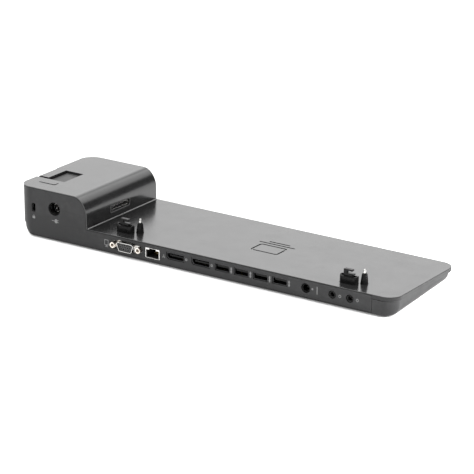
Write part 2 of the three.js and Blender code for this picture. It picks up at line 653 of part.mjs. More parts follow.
function latchBar() {
  const height = [BAR.low, BAR.high];
  const bar = block([fromEnd(316), fromEnd(44)], [-BAR.to, -BAR.from], height);
  const tabs = [[94, 102], [307.2, 311.2]].map(([from, to]) =>
    block([fromEnd(to), fromEnd(from)], [-BAR.from - 1, -HOOK_DISTANCE + 1.8], height),
  );
  const pinX = PIVOT.x - LATCH_TRAVEL / 2;
  const pinDistance = PIVOT.distance + PIVOT.follow * Math.cos(SWING);
  const slot = plate(roundedRectangle(3.6, 4.6, 1.7), 6).translate(fromEnd(pinX), -pinDistance, -6);
  const lightening = [130, 170, 210, 250, 285].map((x) =>
    plate(roundedRectangle(16, 3.6, 1.7), 6).translate(fromEnd(x), -(BAR.from + BAR.to) / 2, -6),
  );
  const body = carve(bar, { add: tabs, cut: [slot, ...lightening] });
  put("latch_bar", body, darkSteel, [0, 0, 0], deckFrame);
}

// The hook's arm points away from the tower, over a slot for the laptop's base.
function latchHook(x, index) {
  const side = polygon(
    [
      [4.6, -2.4], [4.6, 11.4], [-3.4, 11.4], [-3.4, 9.9], [1.7, 9.9],
      [1.7, 7.9], [-4.8, 7.9], [-4.8, 6.5], [-3.2, 6.3], [-3.2, -2.4],
    ].reverse(),
  );
  const hook = inward(side, 3.2).translate(0, 1.6, 0);
  put(`latch_hook_${index}`, hook, blackPlastic, [fromEnd(x), -HOOK_DISTANCE, 0], deckFrame);
  const collar = carve(plate(roundedRectangle(16, 7.5, 3.7), 6.5).translate(0, 0, -0.5), {
    cut: [plate(roundedRectangle(13.6, 4.6, 1.2), 12).translate(0, 0, -3)],
  });
  put(`hook_collar_${index}`, collar, blackPlastic, [fromEnd(x), -HOOK_DISTANCE, 0], deckFrame);
}

function guidePost(x, index) {
  const post = carve(rod([0, 0, -0.5], [0, 0, 8.5], 3.1, 2.1), {
    cut: [rod([0, 0, 3], [0, 0, 10], 1.4, 1.4, 16)],
  });
  put(`guide_post_${index}`, post, blackPlastic, [fromEnd(x), -POST_DISTANCE, 0], deckFrame);
  const profile = [[0, 3.3], [1.1, 3.3], [1.1, 11], [0.8, 11.7], [0.3, 12], [0, 12]];
  const pin = new THREE.LatheGeometry(profile.map(([r, h]) => new THREE.Vector2(r, h)), 16);
  put(`post_tip_${index}`, pin.rotateX(Math.PI / 2), nickel, [fromEnd(x), -POST_DISTANCE, 0], deckFrame);
}

function slideRail() {
  const rail = block([fromEnd(64), fromEnd(5)], [-53, -45.6], [2.2, 4.1]);
  const legs = [[6, 10], [58, 62]].map(([from, to]) =>
    block([fromEnd(to), fromEnd(from)], [-53, -47.6], [-7.6, 3]),
  );
  put("slide_rail", carve(rail, { add: legs }), darkSteel, [0, 0, 0], deckFrame);
}

// A strip that lies against the carriage's edge and holds it at either end of its travel.
function detentSpring() {
  const y = 68.2;
  const line = [[12, y + 3], [16, y], [26, y], [30, y - 1.6], [34, y], [44, y], [48, y + 3]];
  const side = (shift) => line.map(([x, distance]) => [fromEnd(x), -distance - shift]);
  const strip = polygon([...side(0), ...side(0.5).reverse()]);
  put("detent_spring", plate(strip, 5).translate(0, 0, 4), darkSteel, [0, 0, 0], deckFrame);
}

function flexCable() {
  const line = [[44, 3.9], [54, 3.9], [60, 2.2], [62, -1.6], [66, -5], [74, -5.8], [86, -5.8]];
  const curve = new THREE.SplineCurve(line.map(([x, h]) => new THREE.Vector2(fromEnd(x), h)));
  const points = curve.getPoints(24);
  const lower = points.map((p) => [p.x, p.y - 0.3]);
  const strip = polygon([...points.map((p) => [p.x, p.y]), ...lower.reverse()]);
  const ribbon = inward(strip, 9).translate(0, -54, 0);
  put("flex_cable", ribbon, amberFilm, [0, 0, 0], deckFrame);
}

// ---------------------------------------------------------------- button and boards
function powerButton() {
  const { width, height, radius } = BUTTON;
  const cap = plate(roundedRectangle(width, height, radius), 3.4).translate(0, 0, -3.4);
  const flange = plate(roundedRectangle(width + 2.4, height + 2.4, radius + 0.4), 1).translate(0, 0, -4);
  const plunger = rod([0, 0, -3.4], [0, 0, -4.6], 1.2, 1.2, 12);
  const body = carve(cap, { add: [flange, plunger] });
  const at = (height) => [fromEnd(BUTTON.x), -BUTTON.distance, TOP + height];
  put("power_button", body, deckPlastic, at(BUTTON.proud), deckFrame);
  const board = block([-13, 13], [-7, 7], [0, 1.2]);
  put("button_board", board, circuitGreen, at(BUTTON.proud - 8.9), deckFrame);
  const button = carve(block([-3, 3], [-3, 3], [0, 1.4]), {
    add: [rod([0, 0, 1], [0, 0, 1.9], 1.6, 1.6, 12)],
  });
  put("power_switch", button, blackPlastic, at(BUTTON.proud - 7.4), deckFrame);
}

function mainBoard() {
  const [low, high] = [above(4.9), above(6.5)];
  const notch = (from, to, depth) =>
    block([fromEnd(to), fromEnd(from)], [fromRear(depth), REAR_Y], [low - 1, high + 1]);
  const board = carve(block([fromEnd(335), fromEnd(76)], [fromRear(62), fromRear(4.5)], [low, high]), {
    cut: [
      notch(92, 124.6, 9.8), notch(125.4, 142, 17.2),
      notch(274.6, 283.4, 13.4), notch(299, 323, 15.2),
    ],
  });
  put("main_board", board, circuitGreen);
  const inside = block([-23.5, 23.5], [-10.5, 10.5], [-1, 2.2]);
  const can = carve(block([-24, 24], [-11, 11], [0, 2.6]), { cut: [inside] });
  put("shield_can", can, nickel, [fromEnd(220), fromRear(47), high + GAP]);
}

// ---------------------------------------------------------------- feet and screws
function foot([x, distance], index) {
  const pad = plate(roundedRectangle(26, 9, 4.4), 2);
  put(`rubber_foot_${index + 1}`, pad, rubber, [fromEnd(x), fromRear(distance), 0]);
}

function caseScrew([x, distance], index) {
  const y = fromRear(distance);
  const top = deckZ(y) - 2.2 - above(0.8);
  const screw = carve(rod([0, 0, 0], [0, 0, 1.1], 2.7, 2.7, 20), {
    add: [rod([0, 0, 1], [0, 0, top], 1.2, 1.2, 12)],
    cut: [block([-1.6, 1.6], [-0.3, 0.3], [-1, 0.5]), block([-0.3, 0.3], [-1.6, 1.6], [-1, 0.5])],
  });
  put(`case_screw_${index + 1}`, screw, nickel, [fromEnd(x), y, above(0.8)]);
}

lowerHousing();
platformCover();
towerCover();
rearPanel();
videoPort();
networkPort();
DISPLAYS.forEach((x, i) => displayPort(x, i + 1));
[1, 2, 3, 4].forEach(usbPort);
roundPorts();
powerPort();
lockPlate();
dockingLever();
connectorCarriage();
dockConnector();
rockerArm();
latchBar();
HOOKS.forEach((x, i) => latchHook(x, i + 1));
POSTS.forEach((x, i) => guidePost(x, i + 1));
slideRail();
detentSpring();
flexCable();
powerButton();
mainBoard();
FEET.forEach(foot);
SCREWS.forEach(caseScrew);

export default model;
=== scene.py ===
# The visual model of a laptop docking station: moulded shells, ports, latches and their finishes,
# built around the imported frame. Shapes are worked out in millimetres and stored in metres.
import json
import math
import bmesh
import bpy
from mathutils import Matrix, Vector


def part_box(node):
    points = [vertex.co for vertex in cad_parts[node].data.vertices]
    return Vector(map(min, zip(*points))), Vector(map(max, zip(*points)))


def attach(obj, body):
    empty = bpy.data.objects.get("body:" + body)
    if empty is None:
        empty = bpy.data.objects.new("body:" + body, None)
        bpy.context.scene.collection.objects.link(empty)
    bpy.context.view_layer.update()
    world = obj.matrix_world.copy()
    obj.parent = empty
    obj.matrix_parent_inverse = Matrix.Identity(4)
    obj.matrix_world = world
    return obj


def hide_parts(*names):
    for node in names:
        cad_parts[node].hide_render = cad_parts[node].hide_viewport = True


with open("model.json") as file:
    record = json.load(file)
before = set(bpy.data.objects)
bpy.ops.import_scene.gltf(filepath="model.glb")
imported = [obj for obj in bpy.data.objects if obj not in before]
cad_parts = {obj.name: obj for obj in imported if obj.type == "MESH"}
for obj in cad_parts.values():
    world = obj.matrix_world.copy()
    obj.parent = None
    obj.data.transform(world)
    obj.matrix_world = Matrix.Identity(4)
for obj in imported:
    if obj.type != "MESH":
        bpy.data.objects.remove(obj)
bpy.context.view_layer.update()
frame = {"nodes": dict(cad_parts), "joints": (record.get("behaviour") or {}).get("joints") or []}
MM = 0.001


# ---- places, from the frame
def box_mm(node):
    low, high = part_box(node)
    return low / MM, high / MM


def centre(node):
    low, high = box_mm(node)
    return (low + high) / 2


joints = {joint["name"]: joint for joint in frame["joints"]}
press_axis = joints["power_key_press"]["axis"]
SLOPE = math.atan2(press_axis[1], -press_axis[2])  # the platform falls towards the front
deck_low, deck_high = box_mm("platform_cover")
tower_low, tower_high = box_mm("tower_cover")
tray_low = box_mm("lower_housing")[0]
panel_low = box_mm("rear_panel")[0]
FAR_X, INNER_X, OUTER_X = deck_low.x, tower_low.x, tower_high.x
FRONT_Y, REAR_Y = deck_low.y, deck_high.y
DECK_Z, TOWER_Z, UNDERSIDE_Z = deck_high.z, tower_high.z, tray_low.z
PANEL_END_X, PANEL_FOOT_Z = panel_low.x, panel_low.z
PANEL_WRAP = REAR_Y - panel_low.y

CORNER = 12.0  # radius of the outline's corners
SHARP = 0.5  # radius of the tower's plan where it has no rounded corner
LID = 3.6  # height of the platform's edge
PLATE = 2.2  # thickness inside that edge
EDGE = 3.4  # width of that edge
WALL = 2.2
FLOOR = 2.0
GAP = 0.3  # clearance between covers
HEAD = 1.0  # the rear panel's upper edge below the surfaces it meets
SEAT = -0.8  # floor of the shallow seats round the collars and posts
ABOVE = 80  # a height above everything, for shapes that cut
STRAIGHT = 1e6  # a height past every rounding of the skirt
BROW = (13.0, 17.0)  # the tower's rounded edge over the platform: across, down
# How the skirt draws in towards its foot at the tower's end, far end, front and rear:
# the inset at the foot, the height where the curve ends, and the inset there.
ROUNDING = ((7.8, 13.0, 0.2), (5.4, 9.0, 1.1), (7.0, 8.0, 2.4), (1.0, 1.2, 0.0))
TOWER_RISE = TOWER_Z - DECK_Z
LOCK_SHIFT = 2.0  # the lock slot's centre from the middle of its plate
LEVER_WIDTH = 26.0
LEVER_REACH = 10.6  # from the tower's end to the inner edge of the lever's tab
CLEARANCE = 2.6  # free length of the opening behind the lever
RECESS_END = 28.0  # inner end of the recess beside the lever, from the tower's end
RECESS_DEPTH = 2.0
SIDE_LIMIT = 0.3  # faces of the platform whose normal rises less than this have the duller finish

DECK_FRAME = Matrix.Translation((0, REAR_Y, DECK_Z)) @ Matrix.Rotation(SLOPE, 4, "X")
TOP = TOWER_RISE * math.cos(SLOPE)  # the tower's top in the platform's own frame


def deck_z(y):
    return DECK_Z - (REAR_Y - y) * math.tan(SLOPE)


def on_deck(point):
    """A point of the part's frame in the platform's own frame."""
    return DECK_FRAME.inverted() @ Vector(point)


# ---- outlines
def arc(cx, cy, rx, ry, start, end, steps):
    turns = [math.radians(start + (end - start) * i / steps) for i in range(steps + 1)]
    return [(cx + rx * math.cos(t), cy + ry * math.sin(t)) for t in turns]


def circle(radius, sides=48):
    return arc(0, 0, radius, radius, 0, 360 * (1 - 1 / sides), sides - 1)


def rounded(width, height, radius, steps=6, x=0.0, y=0.0):
    """A rectangle with round corners."""
    w, h, r = width / 2, height / 2, radius
    points = []
    for k, (sx, sy) in enumerate(((1, 1), (-1, 1), (-1, -1), (1, -1))):
        points += arc(x + sx * (w - r), y + sy * (h - r), r, r, 90 * k, 90 * (k + 1), steps)
    return points


def box_outline(x_span, y_span, radii, height, steps=14):
    """Corner points of a box-shaped plan with a radius at each corner; height is a function of y."""
    (x0, x1), (y0, y1) = x_span, y_span
    points = []
    for k, (x, y) in enumerate(((x1, y1), (x0, y1), (x0, y0), (x1, y0))):
        r = radii[k]
        cx = x - r if x == x1 else x + r
        cy = y - r if y == y1 else y + r
        points += [(px, py, height(py)) for px, py in arc(cx, cy, r, r, 90 * k, 90 * (k + 1), steps)]
    return points


# ---- meshes
def new_object(name, mesh):
    made = bpy.data.objects.new(name, mesh)
    bpy.context.scene.collection.objects.link(made)
    return made


def solid(name, points, faces, place=None):
    """A closed mesh from points in millimetres, with its faces turned outwards."""
    place = place or Matrix.Identity(4)
    mesh = bpy.data.meshes.new(name)
    mesh.from_pydata([(place @ Vector(p)) * MM for p in points], [], faces)
    edit = bmesh.new()
    edit.from_mesh(mesh)
    bmesh.ops.remove_doubles(edit, verts=edit.verts, dist=1e-7)
    bmesh.ops.recalc_face_normals(edit, faces=edit.faces)
    edit.to_mesh(mesh)
    edit.free()
    return new_object(name, mesh)


def loft(name, rings, place=None):
    """A closed solid through rings that have the same number of points."""
    count = len(rings[0])
    points = [p for ring in rings for p in ring]
    faces = []
    for k in range(len(rings) - 1):
        low, high = k * count, (k + 1) * count
        for i in range(count):
            j = (i + 1) % count
            faces.append((low + i, low + j, high + j, high + i))
    faces.append(tuple(range(count))[::-1])
    faces.append(tuple(range(len(points) - count, len(points))))
    return solid(name, points, faces, place)


def extrude(name, outline, plane, low, high, at=(0, 0, 0), place=None):
    """An outline drawn in a plane, XY, XZ or YZ, extruded along the third axis."""
    def lift(a, b, c):
        point = {"XY": (a, b, c), "XZ": (a, c, b), "YZ": (c, a, b)}[plane]
        return tuple(p + q for p, q in zip(point, at))
    rings = [[lift(a, b, c) for a, b in outline] for c in (low, high)]
    return loft(name, rings, place)


def block(name, x, y, z, place=None):
    outline = [(x[0], y[0]), (x[1], y[0]), (x[1], y[1]), (x[0], y[1])]
    return extrude(name, outline, "XY", z[0], z[1], place=place)


def upward(name, outline, low, high, at):
    """Extruded along the platform's normal, over or under the point at."""
    return extrude(name, outline, "XY", low, high, (at.x, at.y, 0), DECK_FRAME)


def sideways(name, outline, low, high, at):
    """Extruded along X in the platform's own frame."""
    return extrude(name, outline, "YZ", low, high, (0, at.y, at.z), DECK_FRAME)


def inward(name, outline, low, high, at):
    """Extruded along Y, as the ports in the rear face are."""
    return extrude(name, outline, "XZ", low, high, (at.x, 0, at.z))


def turned(name, profile, at, axis="Z", sides=64, place=None):
    """A turned body: profile is radius and height, from the axis back to the axis."""
    points, faces, rings = [], [], []
    for radius, height in profile:
        ring = []
        for i in range(1 if radius == 0 else sides):
            turn = 2 * math.pi * i / sides
            a, b = radius * math.cos(turn), radius * math.sin(turn)
            point = (a, b, height) if axis == "Z" else (a, height, b)
            ring.append(len(points))
            points.append(tuple(p + q for p, q in zip(point, at)))
        rings.append(ring)
    for low, high in zip(rings, rings[1:]):
        for i in range(sides):
            j = (i + 1) % sides
            quad = (low[i % len(low)], low[j % len(low)], high[j % len(high)], high[i % len(high)])
            faces.append(tuple(dict.fromkeys(quad)))
    return solid(name, points, faces, place)


def tube(name, section, at, sides):
    """A ring with the given section of radius and height along Y."""
    count = len(section)
    points, faces = [], []
    for i in range(sides):
        turn = 2 * math.pi * i / sides
        points += [(r * math.cos(turn) + at[0], h + at[1], r * math.sin(turn) + at[2]) for r, h in section]
    for i in range(sides):
        j = (i + 1) % sides
        for k in range(count):
            m = (k + 1) % count
            faces.append((i * count + k, i * count + m, j * count + m, j * count + k))
    return solid(name, points, faces)


def settle(obj):
    """Applies an object's modifiers to its mesh."""
    graph = bpy.context.evaluated_depsgraph_get()
    graph.update()
    mesh = bpy.data.meshes.new_from_object(obj.evaluated_get(graph))
    obj.modifiers.clear()
    old, obj.data = obj.data, mesh
    bpy.data.meshes.remove(old)
    return obj


def merge(name, objects):
    """One object that holds the meshes of separate ones."""
    edit = bmesh.new()
    for obj in objects:
        edit.from_mesh(obj.data)
        bpy.data.objects.remove(obj)
    mesh = bpy.data.meshes.new(name)
    edit.to_mesh(mesh)
    edit.free()
    return new_object(name, mesh)


def combine(base, others, operation="DIFFERENCE"):
    for other in others:
        step = base.modifiers.new("combine", "BOOLEAN")
        step.operation = operation
        step.solver = "MANIFOLD"
        step.object = other
    settle(base)
    for other in others:
        bpy.data.objects.remove(other)
    return base


def cut(base, *others):
    return combine(base, others)


def join(base, *others):
    return combine(base, others, "UNION")


def common(base, *others):
    return combine(base, others, "INTERSECT")


def bevel(obj, width, segments=2, angle=50):
    step = obj.modifiers.new("bevel", "BEVEL")
    step.width = width * MM
    step.segments = segments
    step.limit_method = "ANGLE"
    step.angle_limit = math.radians(angle)
    step.miter_outer = "MITER_ARC"
    step.use_clamp_overlap = True
    return settle(obj)


def finish(obj, material, nodes=(), body="dock_base"):
    """Shades the mesh, gives it its material, and makes it ride on its body."""
    mesh = obj.data
    mesh.polygons.foreach_set("use_smooth", [True] * len(mesh.polygons))
    mesh.set_sharp_from_angle(angle=math.radians(35))
    mesh.materials.clear()
    mesh.materials.append(material)
    step = obj.modifiers.new("weighted_normals", "WEIGHTED_NORMAL")
    step.keep_sharp = True
    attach(obj, body)
    if nodes:
        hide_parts(*nodes)


# ---- materials
class Tree:
    """A node tree, with short calls for the nodes that the finishes and the world share."""

    def __init__(self, owner):
        owner.use_nodes = True
        self.tree = owner.node_tree
        self.tree.nodes.clear()

    def feed(self, socket, value):
        """Links a socket to another one, or sets its value."""
        if isinstance(value, bpy.types.NodeSocket):
            self.tree.links.new(value, socket)
        elif socket.type == "RGBA":
            socket.default_value = (*value, 1.0)
        else:
            socket.default_value = value

    def node(self, kind, inputs=None, **settings):
        made = self.tree.nodes.new("ShaderNode" + kind)
        for name, value in settings.items():
            setattr(made, name, value)
        for name, value in (inputs or {}).items():
            self.feed(made.inputs[name], value)
        return made

    def math(self, operation, first, second):
        return self.node("Math", {0: first, 1: second}, operation=operation).outputs[0]

    def span(self, value, low=0.0, high=1.0, start=0.3, end=0.7, curve="LINEAR"):
        """Turns a value between start and end into one between low and high."""
        inputs = {"Value": value, "From Min": start, "From Max": end, "To Min": low, "To Max": high}
        return self.node("MapRange", inputs, interpolation_type=curve).outputs[0]


class Shader(Tree):
    """A material's node tree, laid out in the object's own coordinates."""

    def __init__(self, name):
        self.material = bpy.data.materials.new(name)
        super().__init__(self.material)
        self.surface = self.node("BsdfPrincipled")
        self.node("OutputMaterial", {0: self.surface.outputs[0]})
        self.place = self.node("TexCoord").outputs["Object"]

    def stretched(self, scale):
        return self.node("Mapping", {"Vector": self.place, "Scale": scale}).outputs[0]

    def noise(self, scale, detail=4.0, place=None):
        inputs = {"Vector": place or self.place, "Scale": scale, "Detail": detail, "Roughness": 0.6}
        return self.node("TexNoise", inputs).outputs["Fac"]

    def cells(self, scale):
        return self.node("TexVoronoi", {"Vector": self.place, "Scale": scale}).outputs["Distance"]

    def blend(self, factor, first, second):
        """A mix of two colours; inputs 6 and 7 and output 2 of the node are its colours."""
        return self.node("Mix", {0: factor, 6: first, 7: second}, data_type="RGBA").outputs[2]

    def worn_edge(self, strength):
        """How much an edge is rubbed, from the mesh's curvature and a patchy noise."""
        sharp = self.node("NewGeometry").outputs["Pointiness"]
        edge = self.span(sharp, 0.0, strength, 0.505, 0.56)
        return self.math("MULTIPLY", edge, self.span(self.noise(180.0), 0.2))

    def bumps(self, *layers):
        """Bump layers, each a height, a depth in millimetres and a strength."""
        under = {}
        for height, depth, strength in layers:
            inputs = {"Height": height, "Distance": depth * MM, "Strength": strength, **under}
            under = {"Normal": self.node("Bump", inputs).outputs[0]}
        self.feed(self.surface.inputs["Normal"], under["Normal"])

    def set(self, **values):
        for name, value in values.items():
            self.feed(self.surface.inputs[name.replace("_", " ")], value)


def moulded_plastic(name, color, roughness, grain, depth, wear=0.35, specular=0.5):
    """Moulded plastic: a fine spark-eroded grain, uneven gloss, and edges rubbed paler."""
    shader = Shader(name)
    tone = shader.span(shader.noise(22.0, 3.0))
    darker = tuple(c * 0.9 for c in color)
    lighter = tuple(c * 1.1 for c in color)
    body = shader.blend(tone, darker, lighter)
    rubbed = tuple(min(1.0, c * 2.2 + 0.02) for c in color)
    body = shader.blend(shader.worn_edge(wear), body, rubbed)
    gloss = shader.span(shader.noise(60.0, 5.0), roughness - 0.03, roughness + 0.04)
    shader.set(Base_Color=body, Roughness=gloss, Specular_IOR_Level=specular)
    fine = shader.noise(grain, 2.0)
    shader.bumps((fine, depth, 0.5), (shader.cells(grain * 0.6), depth, 0.25))
    return shader.material


def satin_metal(name, color, roughness, brushed=(1.0, 1.0, 1.0), tint=0.12):
    """Plated or brushed metal: fine draw lines, faint stains, uneven gloss."""
    shader = Shader(name)
    lines = shader.noise(1400.0, 3.0, shader.stretched(brushed))
    stains = shader.span(shader.noise(90.0))
    duller = tuple(c * (1 - tint) for c in color)
    gloss = shader.span(lines, roughness - 0.05, roughness + 0.08)
    shader.set(Base_Color=shader.blend(stains, color, duller), Metallic=1.0, Roughness=gloss)
    shader.bumps((lines, 0.02, 0.3))
    return shader.material


def polished_black(name, roughness=0.22):
    """Polished black moulding with faint swirls."""
    shader = Shader(name)
    swirl = shader.noise(260.0, 6.0)
    tone = shader.blend(shader.span(swirl), (0.004, 0.004, 0.004), (0.009, 0.009, 0.009))
    gloss = shader.span(swirl, roughness - 0.03, roughness + 0.08)
    shader.set(Base_Color=tone, Roughness=gloss, Specular_IOR_Level=0.16)
    shader.bumps((shader.noise(900.0, 2.0), 0.02, 0.15))
    return shader.material


def soft_rubber(name):
    """Foot rubber: matte, dusty, with a fine pebbled skin."""
    shader = Shader(name)
    dust = shader.span(shader.noise(140.0, 6.0), 0.0, 0.6)
    shader.set(Base_Color=shader.blend(dust, (0.02, 0.02, 0.02), (0.07, 0.068, 0.064)))
    shader.set(Roughness=shader.span(shader.noise(300.0), 0.75, 0.92))
    shader.bumps((shader.cells(1500.0), 0.08, 0.6))
    return shader.material


def circuit_board(name):
    """Lacquered board: fields of darker green between paler lines under the lacquer."""
    shader = Shader(name)
    traces = shader.node("TexBrick", {
        "Vector": shader.place, "Scale": 220.0, "Mortar Size": 0.03, "Mortar": (0.05, 0.22, 0.11),
        "Color1": (0.012, 0.10, 0.05), "Color2": (0.016, 0.13, 0.065),
    })
    shader.set(Base_Color=traces.outputs["Color"], Roughness=0.35, Coat_Weight=0.3)
    shader.bumps((traces.outputs["Fac"], 0.03, 0.4))
    return shader.material


def thin_film(name):
    """Amber film of a flat cable, with its conductors showing as fine lines."""
    shader = Shader(name)
    inputs = {"Vector": shader.place, "Scale": 320.0}
    lines = shader.node("TexWave", inputs, bands_direction="Y").outputs["Fac"]
    tone = shader.blend(lines, (0.36, 0.15, 0.03), (0.50, 0.26, 0.07))
    shader.set(Base_Color=tone, Roughness=0.3, Coat_Weight=0.3)
    shader.bumps((lines, 0.03, 0.4))
    return shader.material


def printed_ink(name):
    """Pale grey pad print with slightly uneven cover."""
    shader = Shader(name)
    cover = shader.span(shader.noise(900.0, 3.0))
    shader.set(Base_Color=shader.blend(cover, (0.15, 0.15, 0.15), (0.21, 0.21, 0.21)))
    shader.set(Roughness=shader.span(shader.noise(400.0), 0.5, 0.65))
    shader.bumps((shader.noise(1600.0), 0.02, 0.3))
    return shader.material


def pale_floor(name):
    """A white sweep with a barely uneven tone."""
    shader = Shader(name)
    tone = shader.blend(shader.span(shader.noise(3.0)), (0.86, 0.86, 0.86), (0.88, 0.88, 0.88))
    shader.set(Base_Color=tone, Roughness=0.9, Specular_IOR_Level=0.1)
    shader.set(Emission_Color=(1.0, 1.0, 1.0), Emission_Strength=0.18)
    return shader.material


# Colour, roughness, grain per metre and its depth in millimetres.
CASE = moulded_plastic("case_plastic", (0.017, 0.017, 0.0175), 0.42, 2200.0, 0.05, specular=0.3)
DECK = moulded_plastic("deck_plastic", (0.011, 0.011, 0.0112), 0.20, 3200.0, 0.012, wear=0.2, specular=0.75)
# Much paler than the deck: a painted highlight for the light lines along the tower's foot and the connector
# slot's lip.
PAINTED_HIGHLIGHT_PLASTIC = moulded_plastic("painted_highlight_plastic", (0.06, 0.06, 0.06), 0.25, 3200.0, 0.01, wear=0.2, specular=1.0)
LID_SIDE = moulded_plastic(
    "lid_side_plastic", (0.013, 0.013, 0.0132), 0.42, 2600.0, 0.03, wear=0.1, specular=0.35,
)
GLOSS = polished_black("polished_black")
PORT = moulded_plastic("port_plastic", (0.012, 0.012, 0.012), 0.45, 2600.0, 0.04, wear=0.2)
INSERT = moulded_plastic("insert_plastic", (0.028, 0.028, 0.028), 0.5, 2600.0, 0.03, wear=0.2)
NYLON = moulded_plastic("black_nylon", (0.018, 0.018, 0.018), 0.5, 1800.0, 0.05, wear=0.3)
NICKEL = satin_metal("nickel", (0.80, 0.79, 0.77), 0.24, (1.0, 0.15, 1.0))
PALE_BRASS = satin_metal("pale_brass", (0.93, 0.86, 0.78), 0.3)
DARK_STEEL = satin_metal("dark_steel", (0.22, 0.22, 0.23), 0.38, (0.2, 1.0, 1.0))
# Steel darkened far below plated nickel: painted shade for the recessed display and type A port shells.
SHADED_PORT_STEEL = satin_metal("port_steel_painted_shade", (0.085, 0.085, 0.088), 0.4, (0.2, 1.0, 1.0))
SPRING = satin_metal("spring_steel", (0.52, 0.52, 0.53), 0.3, (0.1, 1.0, 1.0))
SCREW = satin_metal("screw_steel", (0.5, 0.5, 0.52), 0.35)
GOLD = satin_metal("gold_contact", (0.90, 0.68, 0.32), 0.25, (1.0, 0.1, 1.0))
RUBBER = soft_rubber("foot_rubber")
BOARD = circuit_board("board_laminate")
FILM = thin_film("amber_film")
INK = printed_ink("pale_ink")
BLANK_LABEL = moulded_plastic("blank_label", (0.30, 0.30, 0.30), 0.55, 900.0, 0.02, wear=0.0)


# ---- casings
def skirt_insets(height):
    def inset(across, up, rim):
        left = max(0.0, 1 - height / up)
        return rim + (across - rim) * (1 - math.sqrt(1 - left * left))
    return [inset(*one) for one in ROUNDING]


def skirt_ring(height, z, shrink=0.0):
    tower_end, far_end, front, rear = skirt_insets(height)
    x_span = (FAR_X + far_end + shrink, OUTER_X - tower_end - shrink)
    y_span = (FRONT_Y + front + shrink, REAR_Y - rear - shrink)
    radius = CORNER - 0.5 * (tower_end + shrink)
    return box_outline(x_span, y_span, [radius] * 4, z)


def skirt(name):
    heights = [0.0, 0.15, 0.4, 0.8, 1.3, 2.0, 2.9, 3.9, 5.0]
    rings = [skirt_ring(h, lambda y, h=h: UNDERSIDE_Z + h) for h in heights]
    rings.append(skirt_ring(STRAIGHT, lambda y: deck_z(y) - LID - GAP))
    return loft(name, rings)


def skirt_hollow():
    return loft("hollow", [
        skirt_ring(FLOOR, lambda y: UNDERSIDE_Z + FLOOR, WALL),
        skirt_ring(STRAIGHT, lambda y: deck_z(y) + 1, WALL),
    ])


def tower_ring(y, inset, bottom):
    inner, outer = INNER_X + inset, OUTER_X - inset
    top = deck_z(y) + TOWER_RISE - inset
    across, down = BROW[0] - inset / 2, BROW[1] - inset / 2
    brow = [
        (inner + across - across * math.cos(t), y, top - down + down * math.sin(t))
        for t in (math.pi / 2 * i / 40 for i in range(41))
    ]
    return [(inner, y, bottom(y)), *brow, (outer, y, top), (outer, y, bottom(y))]


def tower_body(name, inset, bottom, rear):
    """The tower's shape, shrunk by inset, between a lower surface and a plane at its rear."""
    body = loft(name, [tower_ring(y, inset, bottom) for y in (FRONT_Y + inset, rear)])
    rear_radius = SHARP if rear > REAR_Y else CORNER - inset
    radii = [rear_radius, SHARP, SHARP, CORNER + 1 - inset]
    x_span, y_span = (INNER_X + inset, OUTER_X - inset), (FRONT_Y + inset, rear)
    plan = [box_outline(x_span, y_span, radii, lambda y, z=z: z, 20) for z in (-5, ABOVE)]
    return common(body, loft("tower_plan", plan))


def sloped_slab(name, x_span, y_span, top):
    """A block from under the desk up to a height that is a function of y."""
    rings = [box_outline(x_span, y_span, [0.05] * 4, height, 1) for height in (lambda y: -1.0, top)]
    return loft(name, rings)


def panel_zone(gap):
    """The space of the rear panel: along the rear and round the tower's corner, under the skin."""
    inset = HEAD - gap
    front, rear = REAR_Y - PANEL_WRAP - 5, REAR_Y + 2
    end, back, height = OUTER_X + 1, REAR_Y + 1, (PANEL_FOOT_Z - gap, ABOVE)
    zone = block("zone", (PANEL_END_X - gap, end), (REAR_Y - WALL - gap, back), height)
    wrap_x, wrap_y = OUTER_X - PANEL_WRAP - gap, REAR_Y - PANEL_WRAP - gap
    corner = block("zone_corner", (wrap_x, end), (wrap_y, back), height)
    skin = loft("zone_skin", [tower_ring(y, inset, lambda y: -1.0) for y in (front, rear)])
    below = sloped_slab("zone_low", (FAR_X - 1, end), (front, rear), lambda y: deck_z(y) - inset)
    top = lambda y: deck_z(y) + TOWER_RISE - inset
    outer = sloped_slab("zone_outer", (OUTER_X - PANEL_WRAP, end), (front, rear), top)
    return common(join(zone, corner), join(skin, below, outer))


def platform_ring(inset, drop):
    x_span, y_span = (FAR_X + inset, INNER_X - GAP), (FRONT_Y + inset, REAR_Y - inset)
    radii = [0.05, CORNER - inset, CORNER - inset, 0.05]
    return box_outline(x_span, y_span, radii, lambda y: deck_z(y) - drop, 20)


def platform_hollows():
    """The space under the platform's plate, and its strip behind which the rear panel stands."""
    hollows = []
    for start, rear, radius in (
        (FAR_X + EDGE, REAR_Y - EDGE, CORNER - EDGE),
        (PANEL_END_X + EDGE, REAR_Y + 1, 0.4),
    ):
        radii = [0.4, radius, radius, 0.4]
        rings = [
            box_outline((start, INNER_X + 1), (FRONT_Y + EDGE, rear), radii, lambda y, d=d: deck_z(y) - d)
            for d in (LID + 1, PLATE)
        ]
        hollows.append(loft("hollow", rings))
    return hollows


def platform_holes():
    holes = []
    for i in (1, 2):
        collar = on_deck(centre(f"hook_collar_{i}"))
        holes.append(upward("hole", rounded(16.6, 8.1, 4.0), SEAT, 1, collar))
        holes.append(upward("hole", rounded(13.6, 4.6, 1.2), -4, 1, collar))
        post = on_deck(centre(f"guide_post_{i}"))
        holes.append(upward("hole", circle(3.4), SEAT, 1, post))
    return holes


